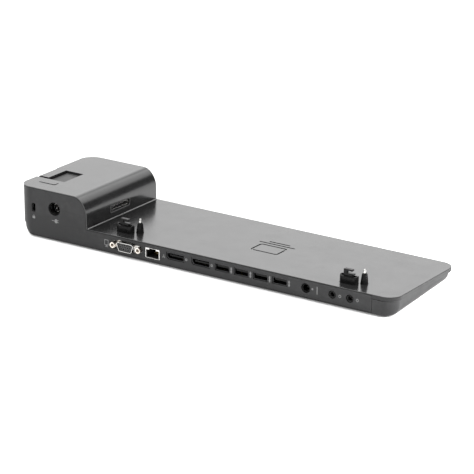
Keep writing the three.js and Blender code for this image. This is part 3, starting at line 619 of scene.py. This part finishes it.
def platform_shell():
    fillet = 0.55
    turns = [math.radians(t) for t in range(0, 91, 15)]
    top_edge = [platform_ring(fillet * (1 - math.cos(t)), fillet * (1 - math.sin(t))) for t in turns]
    lower_edge = [platform_ring(*one) for one in ((0.3, LID), (0.08, LID - 0.12), (0, LID - 0.35))]
    deck = loft("platform_shell", [*lower_edge, *top_edge])
    cut(deck, *platform_hollows(), panel_zone(GAP))
    cut(deck, *platform_holes())
    cut(deck, *emblem_cutters())
    finish(deck, DECK, ["platform_cover"])
    deck.data.materials.append(LID_SIDE)
    for face in deck.data.polygons:
        if face.normal.z < SIDE_LIMIT:
            face.material_index = 1


def emblem_cutters():
    """Grooves of a plain sign in the platform: an open laptop over the line of a dock."""
    depth, width = 0.5, 1.7
    at = Vector(((FAR_X + INNER_X) / 2 - 3, -52.0, 0))

    def frame_groove(w, h, cy, r):
        ring = upward("groove", rounded(w, h, r, y=cy), -depth, 1, at)
        inside = rounded(w - 2 * width, h - 2 * width, r - width + 0.3, y=cy)
        return cut(ring, upward("core", inside, -2, 2, at))

    def line_groove(length, cy):
        return upward("groove", rounded(length, width, width / 2 - 0.01, y=cy), -depth, 1, at)
    return [frame_groove(26, 18.5, 5.0, 3.0), line_groove(34, -8.2), line_groove(20, -12.6)]


def lever_span():
    """The lever's two ends along the platform's depth."""
    middle = on_deck(centre("docking_lever")).y
    return middle - LEVER_WIDTH / 2, middle + LEVER_WIDTH / 2


def lever_openings():
    """The opening round the lever, and the flat recess that its tab slides over."""
    front, rear = lever_span()
    span = (front - GAP, rear + CLEARANCE)
    notch = block("notch", (OUTER_X - 11, OUTER_X + 1), span, (TOP - 14.3, TOP + 2), DECK_FRAME)
    start, floor_z, fillet = OUTER_X - RECESS_END, TOP - RECESS_DEPTH, 0.9
    curve = arc(start + fillet, floor_z + fillet, fillet, fillet, 180, 270, 8)
    outline = [(start, TOP + 2), *curve, (OUTER_X - 10, floor_z), (OUTER_X - 10, TOP + 2)]
    return [notch, extrude("recess", outline, "XZ", *span, place=DECK_FRAME)]


def tower_shell():
    outside = tower_body("tower_shell", 0, lambda y: deck_z(y) - LID, REAR_Y)
    inside = tower_body("tower_inside", WALL, lambda y: deck_z(y) - 10, REAR_Y + 5)
    cut(outside, inside, panel_zone(GAP))
    front, rear = lever_span()
    tub_y, tub_z = (front - 2, rear + CLEARANCE + 2), (TOP - RECESS_DEPTH - 1.7, TOP - 1)
    join(outside, block("tub", (OUTER_X - RECESS_END - 2, OUTER_X - 10.8), tub_y, tub_z, DECK_FRAME))
    button = on_deck(centre("power_button"))
    button_hole = upward("hole", rounded(16.6, 6.6, 1.5, 8), TOP - 6, TOP + 2, button)
    plug = on_deck(centre("dock_connector_shell"))
    plug_hole = sideways("hole", rounded(27.4, 4.5, 1.2, 8), INNER_X - 5, INNER_X + 5, plug)
    passage_y, passage_z = (FRONT_Y - REAR_Y + EDGE, 5), (-LID - 5, -PLATE)
    passage = block("passage", (INNER_X - 1, INNER_X + WALL + 0.5), passage_y, passage_z, DECK_FRAME)
    cut(outside, *lever_openings(), button_hole, plug_hole, passage)
    bevel(outside, 0.35, 3)
    finish(outside, DECK, ["tower_cover"])


def recess_plate():
    """A duller plate that lies on the recess's floor."""
    front, rear = lever_span()
    x_span = (OUTER_X - RECESS_END + 1, OUTER_X - 11.4)
    y_span = (front - GAP + 0.4, rear + CLEARANCE - 0.4)
    low = TOP - RECESS_DEPTH
    plate = block("recess_plate", x_span, y_span, (low - 0.05, low + 0.2), DECK_FRAME)
    bevel(plate, 0.08)
    finish(plate, PORT)


def plug_bezel():
    """A slim frame round the connector's slot; its lower lip is the wider one. Its pale plastic is a
    painted highlight along that lip.
    """
    plug = on_deck(centre("dock_connector_shell"))
    below = plug - Vector((0, 0, 0.35))
    bezel = sideways("plug_bezel", rounded(30.4, 6.8, 2.3, 8), INNER_X - 0.45, INNER_X - 0.01, below)
    cut(bezel, sideways("hole", rounded(28.6, 5.4, 1.8, 8), INNER_X - 2, INNER_X + 2, plug))
    bevel(bezel, 0.15)
    finish(bezel, PAINTED_HIGHLIGHT_PLASTIC)


def base_bead():
    """The slim bead where the tower's wall stands on the platform, in pale plastic: a painted highlight
    along the wall's foot.
    """
    x = INNER_X - GAP - 0.02
    outline = [(x, 0.02), (x - 0.9, 0.02), (x - 0.87, 0.15), (x - 0.25, 0.5), (x, 0.55)]
    bead = extrude("tower_base_bead", outline, "XZ", FRONT_Y - REAR_Y + 1.2, -0.4, place=DECK_FRAME)
    finish(bead, PAINTED_HIGHLIGHT_PLASTIC)


def display_outline(grow):
    w, h = 8.4 + grow, 2.8 + grow
    return [(w, h), (-w, h), (-w, -h), (w - 1.8, -h), (w, -h + 1.8)]


def rear_holes():
    def hole(node, outline, depth=8, shift=0.0):
        return inward("hole", outline, REAR_Y - depth, REAR_Y + 2, centre(node) + Vector((shift, 0, 0)))

    def type_a_hole(node):
        low, high = box_mm(node)
        return hole(node, rounded(high.x - low.x + 0.75, high.z - low.z + 0.75, 0.5, 4))
    return [
        hole("lock_plate", rounded(3, 7, 0.9, 6), shift=LOCK_SHIFT),
        hole("lock_plate", rounded(3.8, 8.0, 1.1, 6), 0.5, LOCK_SHIFT),
        hole("power_jack_body", circle(5.9, 64)),
        hole("vga_shell", rounded(31.6, 6.8, 3.3, 10)),
        hole("vga_shell", rounded(18.8, 9.6, 2.2, 8)),
        hole("rj45_shield", rounded(14.3, 9.3, 0.5, 4)),
        hole("round_socket", circle(4.1, 48)),
        *[hole(f"displayport_{i}_shell", display_outline(0.35)) for i in (1, 2)],
        *[type_a_hole(f"usb_{i}_shell") for i in (1, 2, 3, 4)],
        *[hole(f"audio_jack_{i}", circle(3.4, 40)) for i in (1, 2)],
    ]


def rear_fascia():
    low = cut(skirt("rear_fascia"), skirt_hollow())
    strip_x, strip_y = (PANEL_END_X, OUTER_X - PANEL_WRAP), (REAR_Y - WALL, REAR_Y)
    strip = sloped_slab("strip", strip_x, strip_y, lambda y: deck_z(y) + 1)
    below = lambda y: deck_z(y) - LID - 2
    cut(strip, sloped_slab("limit", (FAR_X, OUTER_X), (FRONT_Y, REAR_Y + 1), below))
    high = tower_body("high", 0, lambda y: deck_z(y) - LID - 3, REAR_Y)
    cut(high, tower_body("hollow", WALL, lambda y: deck_z(y) - 20, REAR_Y - WALL))
    join(low, strip, high)
    common(low, panel_zone(0))
    cut(low, *rear_holes())
    bevel(low, 0.22)
    finish(low, CASE, ["rear_panel"])


def underside_hole(outline, low, high, x, y):
    return extrude("hole", outline, "XY", low, high, (x, y, 0))


def lower_tray():
    tray = cut(skirt("lower_tray"), skirt_hollow(), panel_zone(GAP))
    holes = []
    for i in range(1, 5):
        place, screw = centre(f"rubber_foot_{i}"), centre(f"case_screw_{i}")
        holes += [
            underside_hole(rounded(26.6, 9.6, 4.7), 0, UNDERSIDE_Z + 1.1, place.x, place.y),
            underside_hole(circle(3.1), -1, UNDERSIDE_Z + 1.2, screw.x, screw.y),
            underside_hole(circle(1.7, 24), -1, 20, screw.x, screw.y),
        ]
    middle = (FAR_X + OUTER_X) / 2
    for row in range(2):
        for k in range(14):
            x, y = middle + 40 - 7.5 * k, 14 - 24 * row
            holes.append(underside_hole(rounded(2.2, 16, 1.09, 5), -1, 6, x, y))
    label_x, label_y = middle - 110, 2
    holes.append(underside_hole(rounded(70, 30, 2, 5), -1, UNDERSIDE_Z + 0.35, label_x, label_y))
    cut(tray, *holes)
    bevel(tray, 0.25)
    finish(tray, CASE, ["lower_housing"])
    outline, at = rounded(68, 28, 1.6, 5), (label_x, label_y, 0)
    label = extrude("blank_label", outline, "XY", UNDERSIDE_Z + 0.2, UNDERSIDE_Z + 0.33, at)
    finish(label, BLANK_LABEL)


platform_shell()
tower_shell()
recess_plate()
plug_bezel()
base_bead()
rear_fascia()
lower_tray()


# ---- ports
def d_outline(width, height, lean, radius):
    """The D shape of a video port: the lower side is narrower."""
    w, h, r = width / 2 - radius, height / 2 - radius, radius
    corners = ((w, h), (-w, h), (-w + lean, -h), (w - lean, -h))
    return [p for k, (x, y) in enumerate(corners) for p in arc(x, y, r, r, 90 * k, 90 * (k + 1), 6)]


def video_port():
    low, high = box_mm("vga_shell")
    at = centre("vga_shell")
    face, seat = high.y, REAR_Y - WALL - GAP
    shell = inward("video_port_shell", d_outline(16.2, 7.8, 1.4, 2.0), seat, face, at)
    join(shell, inward("flange", rounded(31, 10.2, 1), low.y, seat, at))
    places = [Vector((centre(f"jackscrew_{i}").x, seat, at.z)) for i in (1, 2)]
    openings = [inward("hole", d_outline(15.3, 6.9, 1.4, 1.6), low.y - 1, face + 1, at)]
    openings += [inward("hole", circle(1.9, 32), low.y - 1, face + 1, place) for place in places]
    cut(shell, *openings)
    bevel(shell, 0.14)
    finish(shell, NICKEL, ["vga_shell"])
    low, high = box_mm("vga_insert")
    insert = inward("video_port_insert", d_outline(14.6, 6.2, 1.4, 1.3), low.y, high.y, at)
    contacts = []
    for row in (-1, 0, 1):
        for column in range(-2, 3):
            pin = at + Vector((2.3 * column + 0.6 * row, 0, 1.9 * row))
            contacts.append(inward("hole", circle(0.55, 16), high.y - 3, high.y + 1, pin))
    cut(insert, *contacts)
    bevel(insert, 0.12, angle=60)
    finish(insert, INSERT, ["vga_insert"])
    for i, place in enumerate(places, 1):
        jackscrew(i, place)


def jackscrew(i, at):
    """A hexagonal standoff with its corners turned off to a cone, and a threaded bore."""
    face = box_mm(f"jackscrew_{i}")[1].y
    reach = face - at.y
    turns = [math.pi / 6 + math.pi / 3 * k for k in range(6)]
    hexagon = [(2.75 * math.cos(t), 2.75 * math.sin(t)) for t in turns]
    head = inward(f"video_port_jackscrew_{i}", hexagon, at.y, face, at)
    cone = [(0, -0.1), (3.3, -0.1), (3.3, reach - 0.9), (2.3, reach), (0, reach)]
    common(head, turned("cone", cone, at, "Y", 48))
    thread = [p for k in range(8) for p in ((1.28, 0.5 * k - 2.28), (1.5, 0.5 * k - 2.03))]
    mouth = [(1.3, reach - 0.35), (1.75, reach + 0.1), (1.75, reach + 1), (0, reach + 1)]
    cut(head, turned("bore", [(0, -3.4), (1.1, -3.4), *thread, *mouth], at, "Y", 24))
    shank = turned("shank", [(0, -4), (1.5, -4), (1.6, -3.8), (1.6, 0.5), (0, 0.5)], at, "Y", 24)
    cut(shank, turned("bore", [(0, -3.4), (1.1, -3.4), (1.1, 1), (0, 1)], at, "Y", 24))
    join(head, shank)
    bevel(head, 0.1, angle=45)
    finish(head, PALE_BRASS, [f"jackscrew_{i}"])


def network_port():
    low, high = box_mm("rj45_shield")
    at = centre("rj45_shield")
    shell = inward("network_port_shield", rounded(13.8, 8.8, 0.4, 4), low.y, high.y, at)
    half = [(6.2, -3.95), (6.2, 2.9), (3.2, 2.9), (3.2, 4.1)]
    mouth = half + [(-a, b) for a, b in reversed(half)]
    cut(shell, inward("mouth", mouth, low.y + 1, high.y + 1, at))
    bevel(shell, 0.15)
    finish(shell, NICKEL, ["rj45_shield"])
    outside, inside = ([(a * scale, b * scale) for a, b in mouth] for scale in (0.985, 0.93))
    liner = inward("network_port_liner", outside, low.y + 1.05, high.y - 0.8, at)
    cut(liner, inward("hole", inside, low.y + 2.0, high.y + 1, at))
    finish(liner, PORT)
    back, tip = high.y - 12.2, high.y - 8.2
    wire = [
        (back, 1.6), (back + 1.2, 1.6), (tip - 0.6, -2.9), (tip, -3.3), (tip, -3.7),
        (tip - 1.2, -3.3), (back + 0.8, 0.9), (back, 0.9),
    ]
    wires = []
    for k in range(8):
        x = (k - 3.5) * 1.02
        wires.append(extrude("wire", wire, "YZ", x - 0.2, x + 0.2, (at.x, 0, at.z)))
    finish(merge("network_port_contacts", wires), GOLD, ["rj45_contacts"])


def tongue(name, node, contacts):
    """A port's tongue with its contacts let into the lower side."""
    low, high = box_mm(node)
    body = inward(name, rounded(high.x - low.x, high.z - low.z, 0.25, 3), low.y, high.y, centre(node))
    bevel(body, 0.12)
    finish(body, GLOSS, [node])
    pitch = (high.x - low.x - 1.6) / contacts
    strips = []
    for k in range(contacts):
        x = low.x + 0.8 + pitch * (k + 0.5)
        span = (x - 0.22 * pitch, x + 0.22 * pitch)
        strips.append(block("strip", span, (low.y + 1.5, high.y - 0.7), (low.z - 0.04, low.z + 0.12)))
    finish(merge(name + "_contacts", strips), GOLD)


def display_port(i):
    node = f"displayport_{i}_shell"
    low, high = box_mm(node)
    at = centre(node)
    shell = inward(f"display_port_{i}_shell", display_outline(-0.05), low.y, high.y, at)
    cut(shell, inward("hole", display_outline(-0.5), low.y + 0.8, high.y + 1, at))
    bevel(shell, 0.13, angle=40)
    # The shell's near-black steel is painted shade.
    finish(shell, SHADED_PORT_STEEL, [node])
    tongue(f"display_port_{i}_tongue", f"displayport_{i}_tongue", 10)


def type_a_port(i):
    node = f"usb_{i}_shell"
    low, high = box_mm(node)
    at = centre(node)
    w, h = high.x - low.x, high.z - low.z
    shell = inward(f"type_a_port_{i}_shell", rounded(w, h, 0.6), low.y, high.y, at)
    cut(shell, inward("hole", rounded(w - 0.7, h - 0.7, 0.35), low.y + 0.8, high.y + 1, at))
    springs = []
    for x in (-w / 4, w / 4):
        for z in (-1, 1):
            z0 = z * (h / 2 - 0.35)
            leaf = ((-2.0, 0), (-3.4, -0.45), (-5.5, -0.1), (-5.5, 0.05), (-2.0, 0.05))
            outline = [(high.y + depth, z0 + rise * z) for depth, rise in leaf]
            springs.append(extrude("spring", outline, "YZ", x - 1.2, x + 1.2, (at.x, 0, at.z)))
    join(shell, *springs)
    bevel(shell, 0.12)
    # The shell's near-black steel is painted shade.
    finish(shell, SHADED_PORT_STEEL, [node])
    tongue(f"type_a_port_{i}_tongue", f"usb_{i}_tongue", 4)


def round_port():
    low, high = box_mm("round_socket")
    at = centre("round_socket")
    at.y = low.y
    deep = high.y - low.y
    rim = [(3.8, deep - 0.4), (3.4, deep), (3.0, deep - 0.15), (2.9, deep - 0.6)]
    pin = [(0.8, 1.5), (0.8, deep - 3.5), (0.5, deep - 3.0), (0, deep - 3.0)]
    socket = turned("round_port_socket", [(0, 0), (3.8, 0), *rim, (2.9, 1.5), *pin], at, "Y")
    finish(socket, GLOSS, ["round_socket"])


def audio_port(i):
    node = f"audio_jack_{i}"
    low, high = box_mm(node)
    at = centre(node)
    at.y = high.y - 2.3
    body = block(f"audio_port_{i}", (low.x, high.x), (low.y, at.y), (low.z, high.z))
    nose = [(0, -0.5), (3.05, -0.5), (3.05, 2.0), (2.75, 2.3), (0, 2.3)]
    join(body, turned("nose", nose, at, "Y", 40))
    bore = [(0, -10), (1.8, -10), (1.8, 1.9), (2.3, 2.4), (2.3, 3), (0, 3)]
    cut(body, turned("bore", bore, at, "Y", 40))
    bevel(body, 0.12)
    finish(body, GLOSS, [node])
    ring = [(1.45, 0), (1.78, 0), (1.78, 1.2), (1.45, 1.2)]
    contact = tube(f"audio_port_{i}_contact", ring, (at.x, high.y - 5.5, at.z), 40)
    finish(contact, NICKEL)


def power_inlet():
    low, high = box_mm("power_jack_body")
    at = centre("power_jack_body")
    at.y = high.y - 2
    body = block("power_inlet_body", (low.x, high.x), (low.y, high.y - 1.9), (low.z, high.z))
    join(body, turned("nose", [(0, -0.5), (5.6, -0.5), (5.6, 1.6), (5.25, 2), (0, 2)], at, "Y"))
    cut(body, turned("bore", [(0, -11), (4.9, -11), (4.9, 1.7), (5.1, 2.1), (5.1, 3), (0, 3)], at, "Y"))
    bevel(body, 0.15)
    finish(body, GLOSS, ["power_jack_body"])
    low, high = box_mm("power_jack_sleeve")
    deep = high.y - low.y - 2.5
    section = [(3.25, 0), (3.7, 0), (3.7, deep - 0.3), (3.55, deep), (3.35, deep), (3.25, deep - 0.3)]
    sleeve = tube("power_inlet_sleeve", section, (at.x, low.y, at.z), 56)
    finish(sleeve, NICKEL, ["power_jack_sleeve"])
    low, high = box_mm("power_jack_pin")
    long = high.y - low.y
    profile = [(0, 0), (0.6, 0), (0.6, long - 0.8), (0.5, long - 0.3), (0.25, long), (0, long)]
    pin = turned("power_inlet_pin", profile, (at.x, low.y, at.z), "Y", 32)
    finish(pin, NICKEL, ["power_jack_pin"])


video_port()
network_port()
for number in (1, 2):
    display_port(number)
for number in (1, 2, 3, 4):
    type_a_port(number)
round_port()
for number in (1, 2):
    audio_port(number)
power_inlet()


# ---- docking parts
def lever():
    """A pad on the tower's end that turns over at the top into a flat tab."""
    front, rear = lever_span()
    middle = (front + rear) / 2
    top, bottom, curve, thick = TOP + 0.3, TOP - 14, 1.8, 2.6
    profile = [
        (OUTER_X - LEVER_REACH, top - 2), (OUTER_X - thick, top - 2),
        (OUTER_X - thick, bottom), (OUTER_X, bottom),
        *arc(OUTER_X - curve, top - curve, curve, curve, 0, 90, 8), (OUTER_X - LEVER_REACH, top),
    ]
    pad = extrude("lever_pad", profile, "XZ", front, rear, place=DECK_FRAME)
    width = (middle - 5.2, middle + 5.2)
    stem = block("stem", (OUTER_X - 8, OUTER_X - 3.2), width, (8, TOP - 5.4), DECK_FRAME)
    bridge = block("bridge", (OUTER_X - 8, OUTER_X - 1), width, (bottom, bottom + 6), DECK_FRAME)
    join(pad, stem, bridge)
    grooves = []
    for k in range(4):
        at = Vector((0, middle, TOP - 4.6 - 2.2 * k))
        grooves.append(sideways("groove", rounded(18, 1.0, 0.49, 4), OUTER_X - 0.5, OUTER_X + 1, at))
    cut(pad, *grooves)
    bevel(pad, 0.3, 3)
    finish(pad, DECK, ["docking_lever"], "lever_carriage")


def power_key():
    at = on_deck(centre("power_button"))
    top = TOP + 0.35
    cap = upward("power_key_cap", rounded(16, 6, 1.2, 8), top - 3.4, top, at)
    flange = upward("flange", rounded(18.4, 8.4, 1.6, 8), top - 4, top - 3, at)
    plunger = upward("plunger", circle(1.2, 24), top - 4.6, top - 3.4, at)
    join(cap, flange, plunger)
    bevel(cap, 0.3, 3)
    finish(cap, DECK, ["power_button"], "power_key")


def dock_plug():
    low, high = box_mm("dock_connector_shell")
    at = on_deck(centre("dock_connector_shell"))
    shell = sideways("dock_plug_shell", rounded(26.4, 3.6, 1.5, 8), low.x, high.x, at)
    cut(shell, sideways("hole", rounded(25.4, 2.6, 1.0, 8), low.x - 1, high.x - 1, at))
    bevel(shell, 0.18, 3)
    finish(shell, NICKEL, ["dock_connector_shell"], "lever_carriage")
    low, high = box_mm("dock_connector_insert")
    insert = sideways("dock_plug_insert", rounded(24.8, 2.0, 0.7, 6), low.x, high.x, at)
    slit_y, slit_z = (at.y - 10.8, at.y + 10.8), (at.z - 0.5, at.z + 0.5)
    cut(insert, block("slit", (low.x - 1, low.x + 8), slit_y, slit_z, DECK_FRAME))
    bevel(insert, 0.12)
    finish(insert, PORT, ["dock_connector_insert"], "lever_carriage")


def latch_hook(i):
    at = on_deck(centre(f"hook_collar_{i}"))
    side = [
        (4.6, -2.4), (4.6, 11.1), (4.3, 11.4), (-2.9, 11.4), (-3.4, 11.0), (-3.4, 10.2), (-3.1, 9.9),
        (1.3, 9.9), (1.7, 9.5), (1.7, 8.5), (1.3, 8.1), (-4.4, 8.1), (-4.8, 7.7), (-4.8, 7.3),
        (-4.5, 7.1), (-3.2, 7.0), (-3.2, -2.4),
    ]
    hook = extrude(f"latch_hook_{i}_body", side, "XZ", -1.6, 1.6, (at.x, at.y, 0), DECK_FRAME)
    bevel(hook, 0.28, 3, angle=30)
    finish(hook, GLOSS, [f"latch_hook_{i}"], "latch")


def divided(outline, length):
    """The outline with its long edges divided into stretches of about the given length."""
    points = []
    for (ax, ay), (bx, by) in zip(outline, outline[1:] + outline[:1]):
        parts = max(1, round(math.hypot(bx - ax, by - ay) / length))
        points += [(ax + (bx - ax) * k / parts, ay + (by - ay) * k / parts) for k in range(parts)]
    return points


def hook_collar(i):
    """The oval collar round a hook; its rim is higher at its two round ends than along its sides."""
    at = on_deck(centre(f"hook_collar_{i}"))
    outline = divided(rounded(16, 7.5, 3.6, 10), 1.0)

    def rim(x, drop):
        return 5.3 + 1.3 * (abs(x) / 8) ** 3 - drop

    def ring(scale_x, scale_y, drop):
        return [(a * scale_x + at.x, b * scale_y + at.y, rim(a, drop)) for a, b in outline]
    foot = [(a + at.x, b + at.y, -0.5) for a, b in outline]
    edge = ((1.0, 1.0, 0.55), (0.985, 0.97, 0.2), (0.95, 0.91, 0.0), (0.9, 0.8, 0.05))
    collar = loft(f"hook_collar_{i}_body", [foot, *[ring(*one) for one in edge]], DECK_FRAME)
    cut(collar, upward("hole", rounded(13.6, 4.6, 1.6, 6), -3, 12, at))
    bevel(collar, 0.15, angle=60)
    finish(collar, GLOSS, [f"hook_collar_{i}"])


def guide_post(i):
    base = on_deck(centre(f"guide_post_{i}"))
    at = (base.x, base.y, 0)
    profile = [
        (0, -0.5), (3.3, -0.5), (3.3, 0.15), (3.18, 0.5), (3.08, 1.0), (2.95, 2.5), (2.62, 5.2),
        (2.3, 7.6), (2.26, 8.0), (2.1, 8.36), (1.85, 8.5), (1.55, 8.5), (1.4, 8.35), (1.4, 3), (0, 3),
    ]
    post = turned(f"guide_post_{i}_body", profile, at, place=DECK_FRAME)
    finish(post, GLOSS, [f"guide_post_{i}"])
    tip = [
        (0, 3.3), (1.1, 3.3), (1.1, 8.7), (1.28, 8.9), (1.28, 9.3), (1.08, 9.5), (1.05, 10.9),
        (0.95, 11.5), (0.7, 11.85), (0.35, 11.98), (0, 12),
    ]
    pin = turned(f"guide_post_{i}_tip", tip, at, sides=40, place=DECK_FRAME)
    finish(pin, NICKEL, [f"post_tip_{i}"])


lever()
power_key()
dock_plug()
for number in (1, 2):
    latch_hook(number)
    hook_collar(number)
    guide_post(number)


# ---- feet and screws
def foot(i):
    top = box_mm(f"rubber_foot_{i}")[1].z
    at = centre(f"rubber_foot_{i}")
    rings = []
    for inset, z in ((0.55, 0.0), (0.2, 0.12), (0.05, 0.35), (0, 0.6), (0, top)):
        outline = rounded(26 - 2 * inset, 9 - 2 * inset, 4.4 - inset, 10)
        rings.append([(a + at.x, b + at.y, z) for a, b in outline])
    finish(loft(f"foot_{i}_pad", rings), RUBBER, [f"rubber_foot_{i}"])


def case_screw(i):
    low, high = box_mm(f"case_screw_{i}")
    at = centre(f"case_screw_{i}")
    long = high.z - low.z
    profile = [(0, 0), (1.9, 0), (2.45, 0.15), (2.7, 0.45), (2.7, 1.1), (1.2, 1.1)]
    thread = 0.5
    for k in range(int((long - 2.0) / thread)):
        profile += [(1.0, 1.4 + k * thread), (1.2, 1.4 + (k + 0.5) * thread)]
    profile += [(0.7, long), (0, long)]
    screw = turned(f"case_screw_{i}_body", profile, (at.x, at.y, low.z), sides=32)
    bars = [
        block("bar", (at.x - a, at.x + a), (at.y - b, at.y + b), (low.z - 1, low.z + 0.7))
        for a, b in ((1.6, 0.3), (0.3, 1.6))
    ]
    cut(screw, *bars)
    finish(screw, SCREW, [f"case_screw_{i}"])


for number in range(1, 5):
    foot(number)
    case_screw(number)


# ---- printed signs
def printed(name, at, shapes, holes=()):
    """Flat printed shapes on the rear face, with holes cut out of them."""
    kept = [inward("ink", shape, REAR_Y - 0.02, REAR_Y + 0.03, at) for shape in shapes]
    body = kept[0] if len(kept) == 1 else join(kept[0], *kept[1:])
    if holes:
        cut(body, *[inward("ink", hole, REAR_Y - 1, REAR_Y + 1, at) for hole in holes])
    body.name = name
    finish(body, INK)


def rectangle(width, height, x=0.0, y=0.0):
    w, h = width / 2, height / 2
    return [(x + w, y + h), (x - w, y + h), (x - w, y - h), (x + w, y - h)]


def beside(node, x, z):
    return centre(node) + Vector((x, 0, z))


def sign_lock():
    shapes = [rounded(2.6, 2.0, 0.3, 3, y=-0.5), rounded(1.9, 1.9, 0.9, 5, y=0.75)]
    at = beside("lock_plate", LOCK_SHIFT, -8.3)
    printed("sign_lock", at, shapes, [rounded(1.0, 1.0, 0.45, 5, y=0.95)])


def sign_plug():
    pins = [rectangle(1.4, 0.55, x=-3.4, y=y) for y in (0.9, -0.9)]
    shapes = [rounded(2.8, 3.6, 1.2, 5, x=-1.6), rectangle(3.2, 0.6, x=1.0), *pins]
    printed("sign_plug", beside("power_jack_body", 0, -10.4), shapes)


def sign_screen():
    outer = max((f"jackscrew_{i}" for i in (1, 2)), key=lambda node: centre(node).x)
    stand = [rectangle(0.6, 1.2, y=-2.2), rectangle(2.8, 0.5, y=-2.8)]
    shapes = [rounded(4.0, 5.0, 0.5, 3, y=0.8), *stand]
    printed("sign_screen", beside(outer, 7.2, -0.6), shapes, [rounded(3.0, 3.9, 0.3, 3, y=0.8)])


def sign_network():
    lines = [rectangle(0.35, 1.2), rectangle(1.7, 0.35, y=-0.3)]
    ends = [rectangle(0.9, 0.9, x=x, y=-0.9) for x in (-0.8, 0.8)]
    printed("sign_network", beside("rj45_shield", -11.3, 0.4), [rectangle(1.0, 1.0, y=0.9), *lines, *ends])


def port_signs():
    for i in (1, 2):
        at = beside(f"displayport_{i}_shell", -10.6, 0)
        printed(f"sign_display_{i}", at, [rounded(1.9, 2.1, 0.5, 4)], [rounded(0.8, 1.0, 0.3, 3)])
    for i in (1, 2, 3, 4):
        knots = [rounded(1.7, 0.9, 0.4, 3, y=y) for y in (1.2, -1.2)]
        bar = [rounded(0.9, 5.4, 0.4, 3), *knots]
        printed(f"sign_type_a_{i}", beside(f"usb_{i}_shell", -8.6, -0.2), bar)
    printed("sign_socket", beside("round_socket", -6.1, 0.4), [rounded(1.5, 1.7, 0.5, 4)])
    printed("sign_socket_bar", beside("round_socket", -10.4, 0), [rounded(0.8, 6.8, 0.35, 3)])
    for i in (1, 2):
        at = beside(f"audio_jack_{i}", -6.9, 0)
        printed(f"sign_audio_{i}", at, [circle(1.25, 24), rectangle(0.5, 2.9)], [circle(0.75, 20)])


sign_lock()
sign_plug()
sign_screen()
sign_network()
port_signs()


# ---- the frame's own pieces
CARRIED = {
    "connector_carriage": NYLON, "rocker_arm": DARK_STEEL, "rocker_pivot_pin": NICKEL,
    "latch_bar": DARK_STEEL, "slide_rail": DARK_STEEL, "detent_spring": SPRING, "flex_cable": FILM,
    "button_board": BOARD, "power_switch": PORT, "main_board": BOARD, "shield_can": NICKEL,
    "lock_plate": DARK_STEEL,
}
for node, material in CARRIED.items():
    kept = frame["nodes"][node]
    kept.data.materials.clear()
    kept.data.materials.append(material)


# ---- floor, light and camera
# Direction, the cosines between which the light grows, and the light that it adds.
LOBES = (
    ((0.75, -0.62, 0.26), 0.72, 1.0, 1.55),
    ((0.20, -0.80, 0.50), 0.84, 0.98, 0.40),
    ((0.26, -0.85, 0.46), 0.93, 0.985, 0.55),
    ((-0.20, -0.83, 0.56), 0.93, 0.985, 1.7),
    ((0.3, 0.2, 1.0), 0.3, 0.95, 1.5),
)
LIGHT_ALL_ROUND = 0.07

LENS = 207.05
LENS_SHIFT = (0.01, 0.0018)
AZIMUTH, ELEVATION = math.radians(211.523), math.radians(21.408)
TARGET = Vector((-0.0005, 0.00175, 0.0162))
DISTANCE = 2.2475


def floor():
    size = 6000.0
    ground = block("floor", (-size, size), (-size, size), (-4.0, 0.0))
    ground.data.materials.append(pale_floor("pale_floor"))


def studio_world():
    """Dim light all round, brightened by soft lobes that the glossy surfaces mirror."""
    world = bpy.data.worlds.new("studio")
    bpy.context.scene.world = world
    sky = Tree(world)
    direction = sky.node("TexCoord").outputs["Generated"]
    total = LIGHT_ALL_ROUND
    for towards, start, end, amount in LOBES:
        inputs = {0: direction, 1: Vector(towards).normalized()}
        cosine = sky.node("VectorMath", inputs, operation="DOT_PRODUCT").outputs["Value"]
        total = sky.math("ADD", total, sky.span(cosine, 0.0, amount, start, end, "SMOOTHSTEP"))
    light = sky.node("Background", {"Color": (1.0, 1.0, 1.0), "Strength": total})
    sky.node("OutputWorld", {0: light.outputs[0]})


def soft_light(name, place, target, size, power):
    """A round area light that doesn't show in reflections."""
    data = bpy.data.lights.new(name, "AREA")
    data.shape = "DISK"
    data.size = size
    data.energy = power
    lamp = bpy.data.objects.new(name, data)
    bpy.context.scene.collection.objects.link(lamp)
    lamp.location = place
    lamp.rotation_euler = (Vector(target) - lamp.location).to_track_quat("-Z", "Y").to_euler()
    lamp.visible_glossy = False


def camera():
    data = bpy.data.cameras.new("camera")
    data.sensor_width = 36.0
    data.lens = LENS
    data.shift_x, data.shift_y = LENS_SHIFT
    data.clip_start, data.clip_end = 0.1, 50.0
    view = bpy.data.objects.new("camera", data)
    bpy.context.scene.collection.objects.link(view)
    level = math.cos(ELEVATION)
    back = Vector((math.sin(AZIMUTH) * level, -math.cos(AZIMUTH) * level, math.sin(ELEVATION)))
    view.location = TARGET + back * DISTANCE
    view.rotation_mode = "QUATERNION"
    view.rotation_quaternion = (-back).to_track_quat("-Z", "Y")
    bpy.context.scene.camera = view


floor()
studio_world()
soft_light("end_light", (-0.42, -0.02, 0.16), (-0.18, -0.02, 0.01), 0.15, 2.4)
soft_light("near_side_light", (0.30, 0.42, 0.65), (0.12, 0.05, 0.0), 0.5, 3.2)
camera()
bpy.context.scene.view_settings.view_transform = "Standard"
bpy.context.scene.view_settings.look = "None"
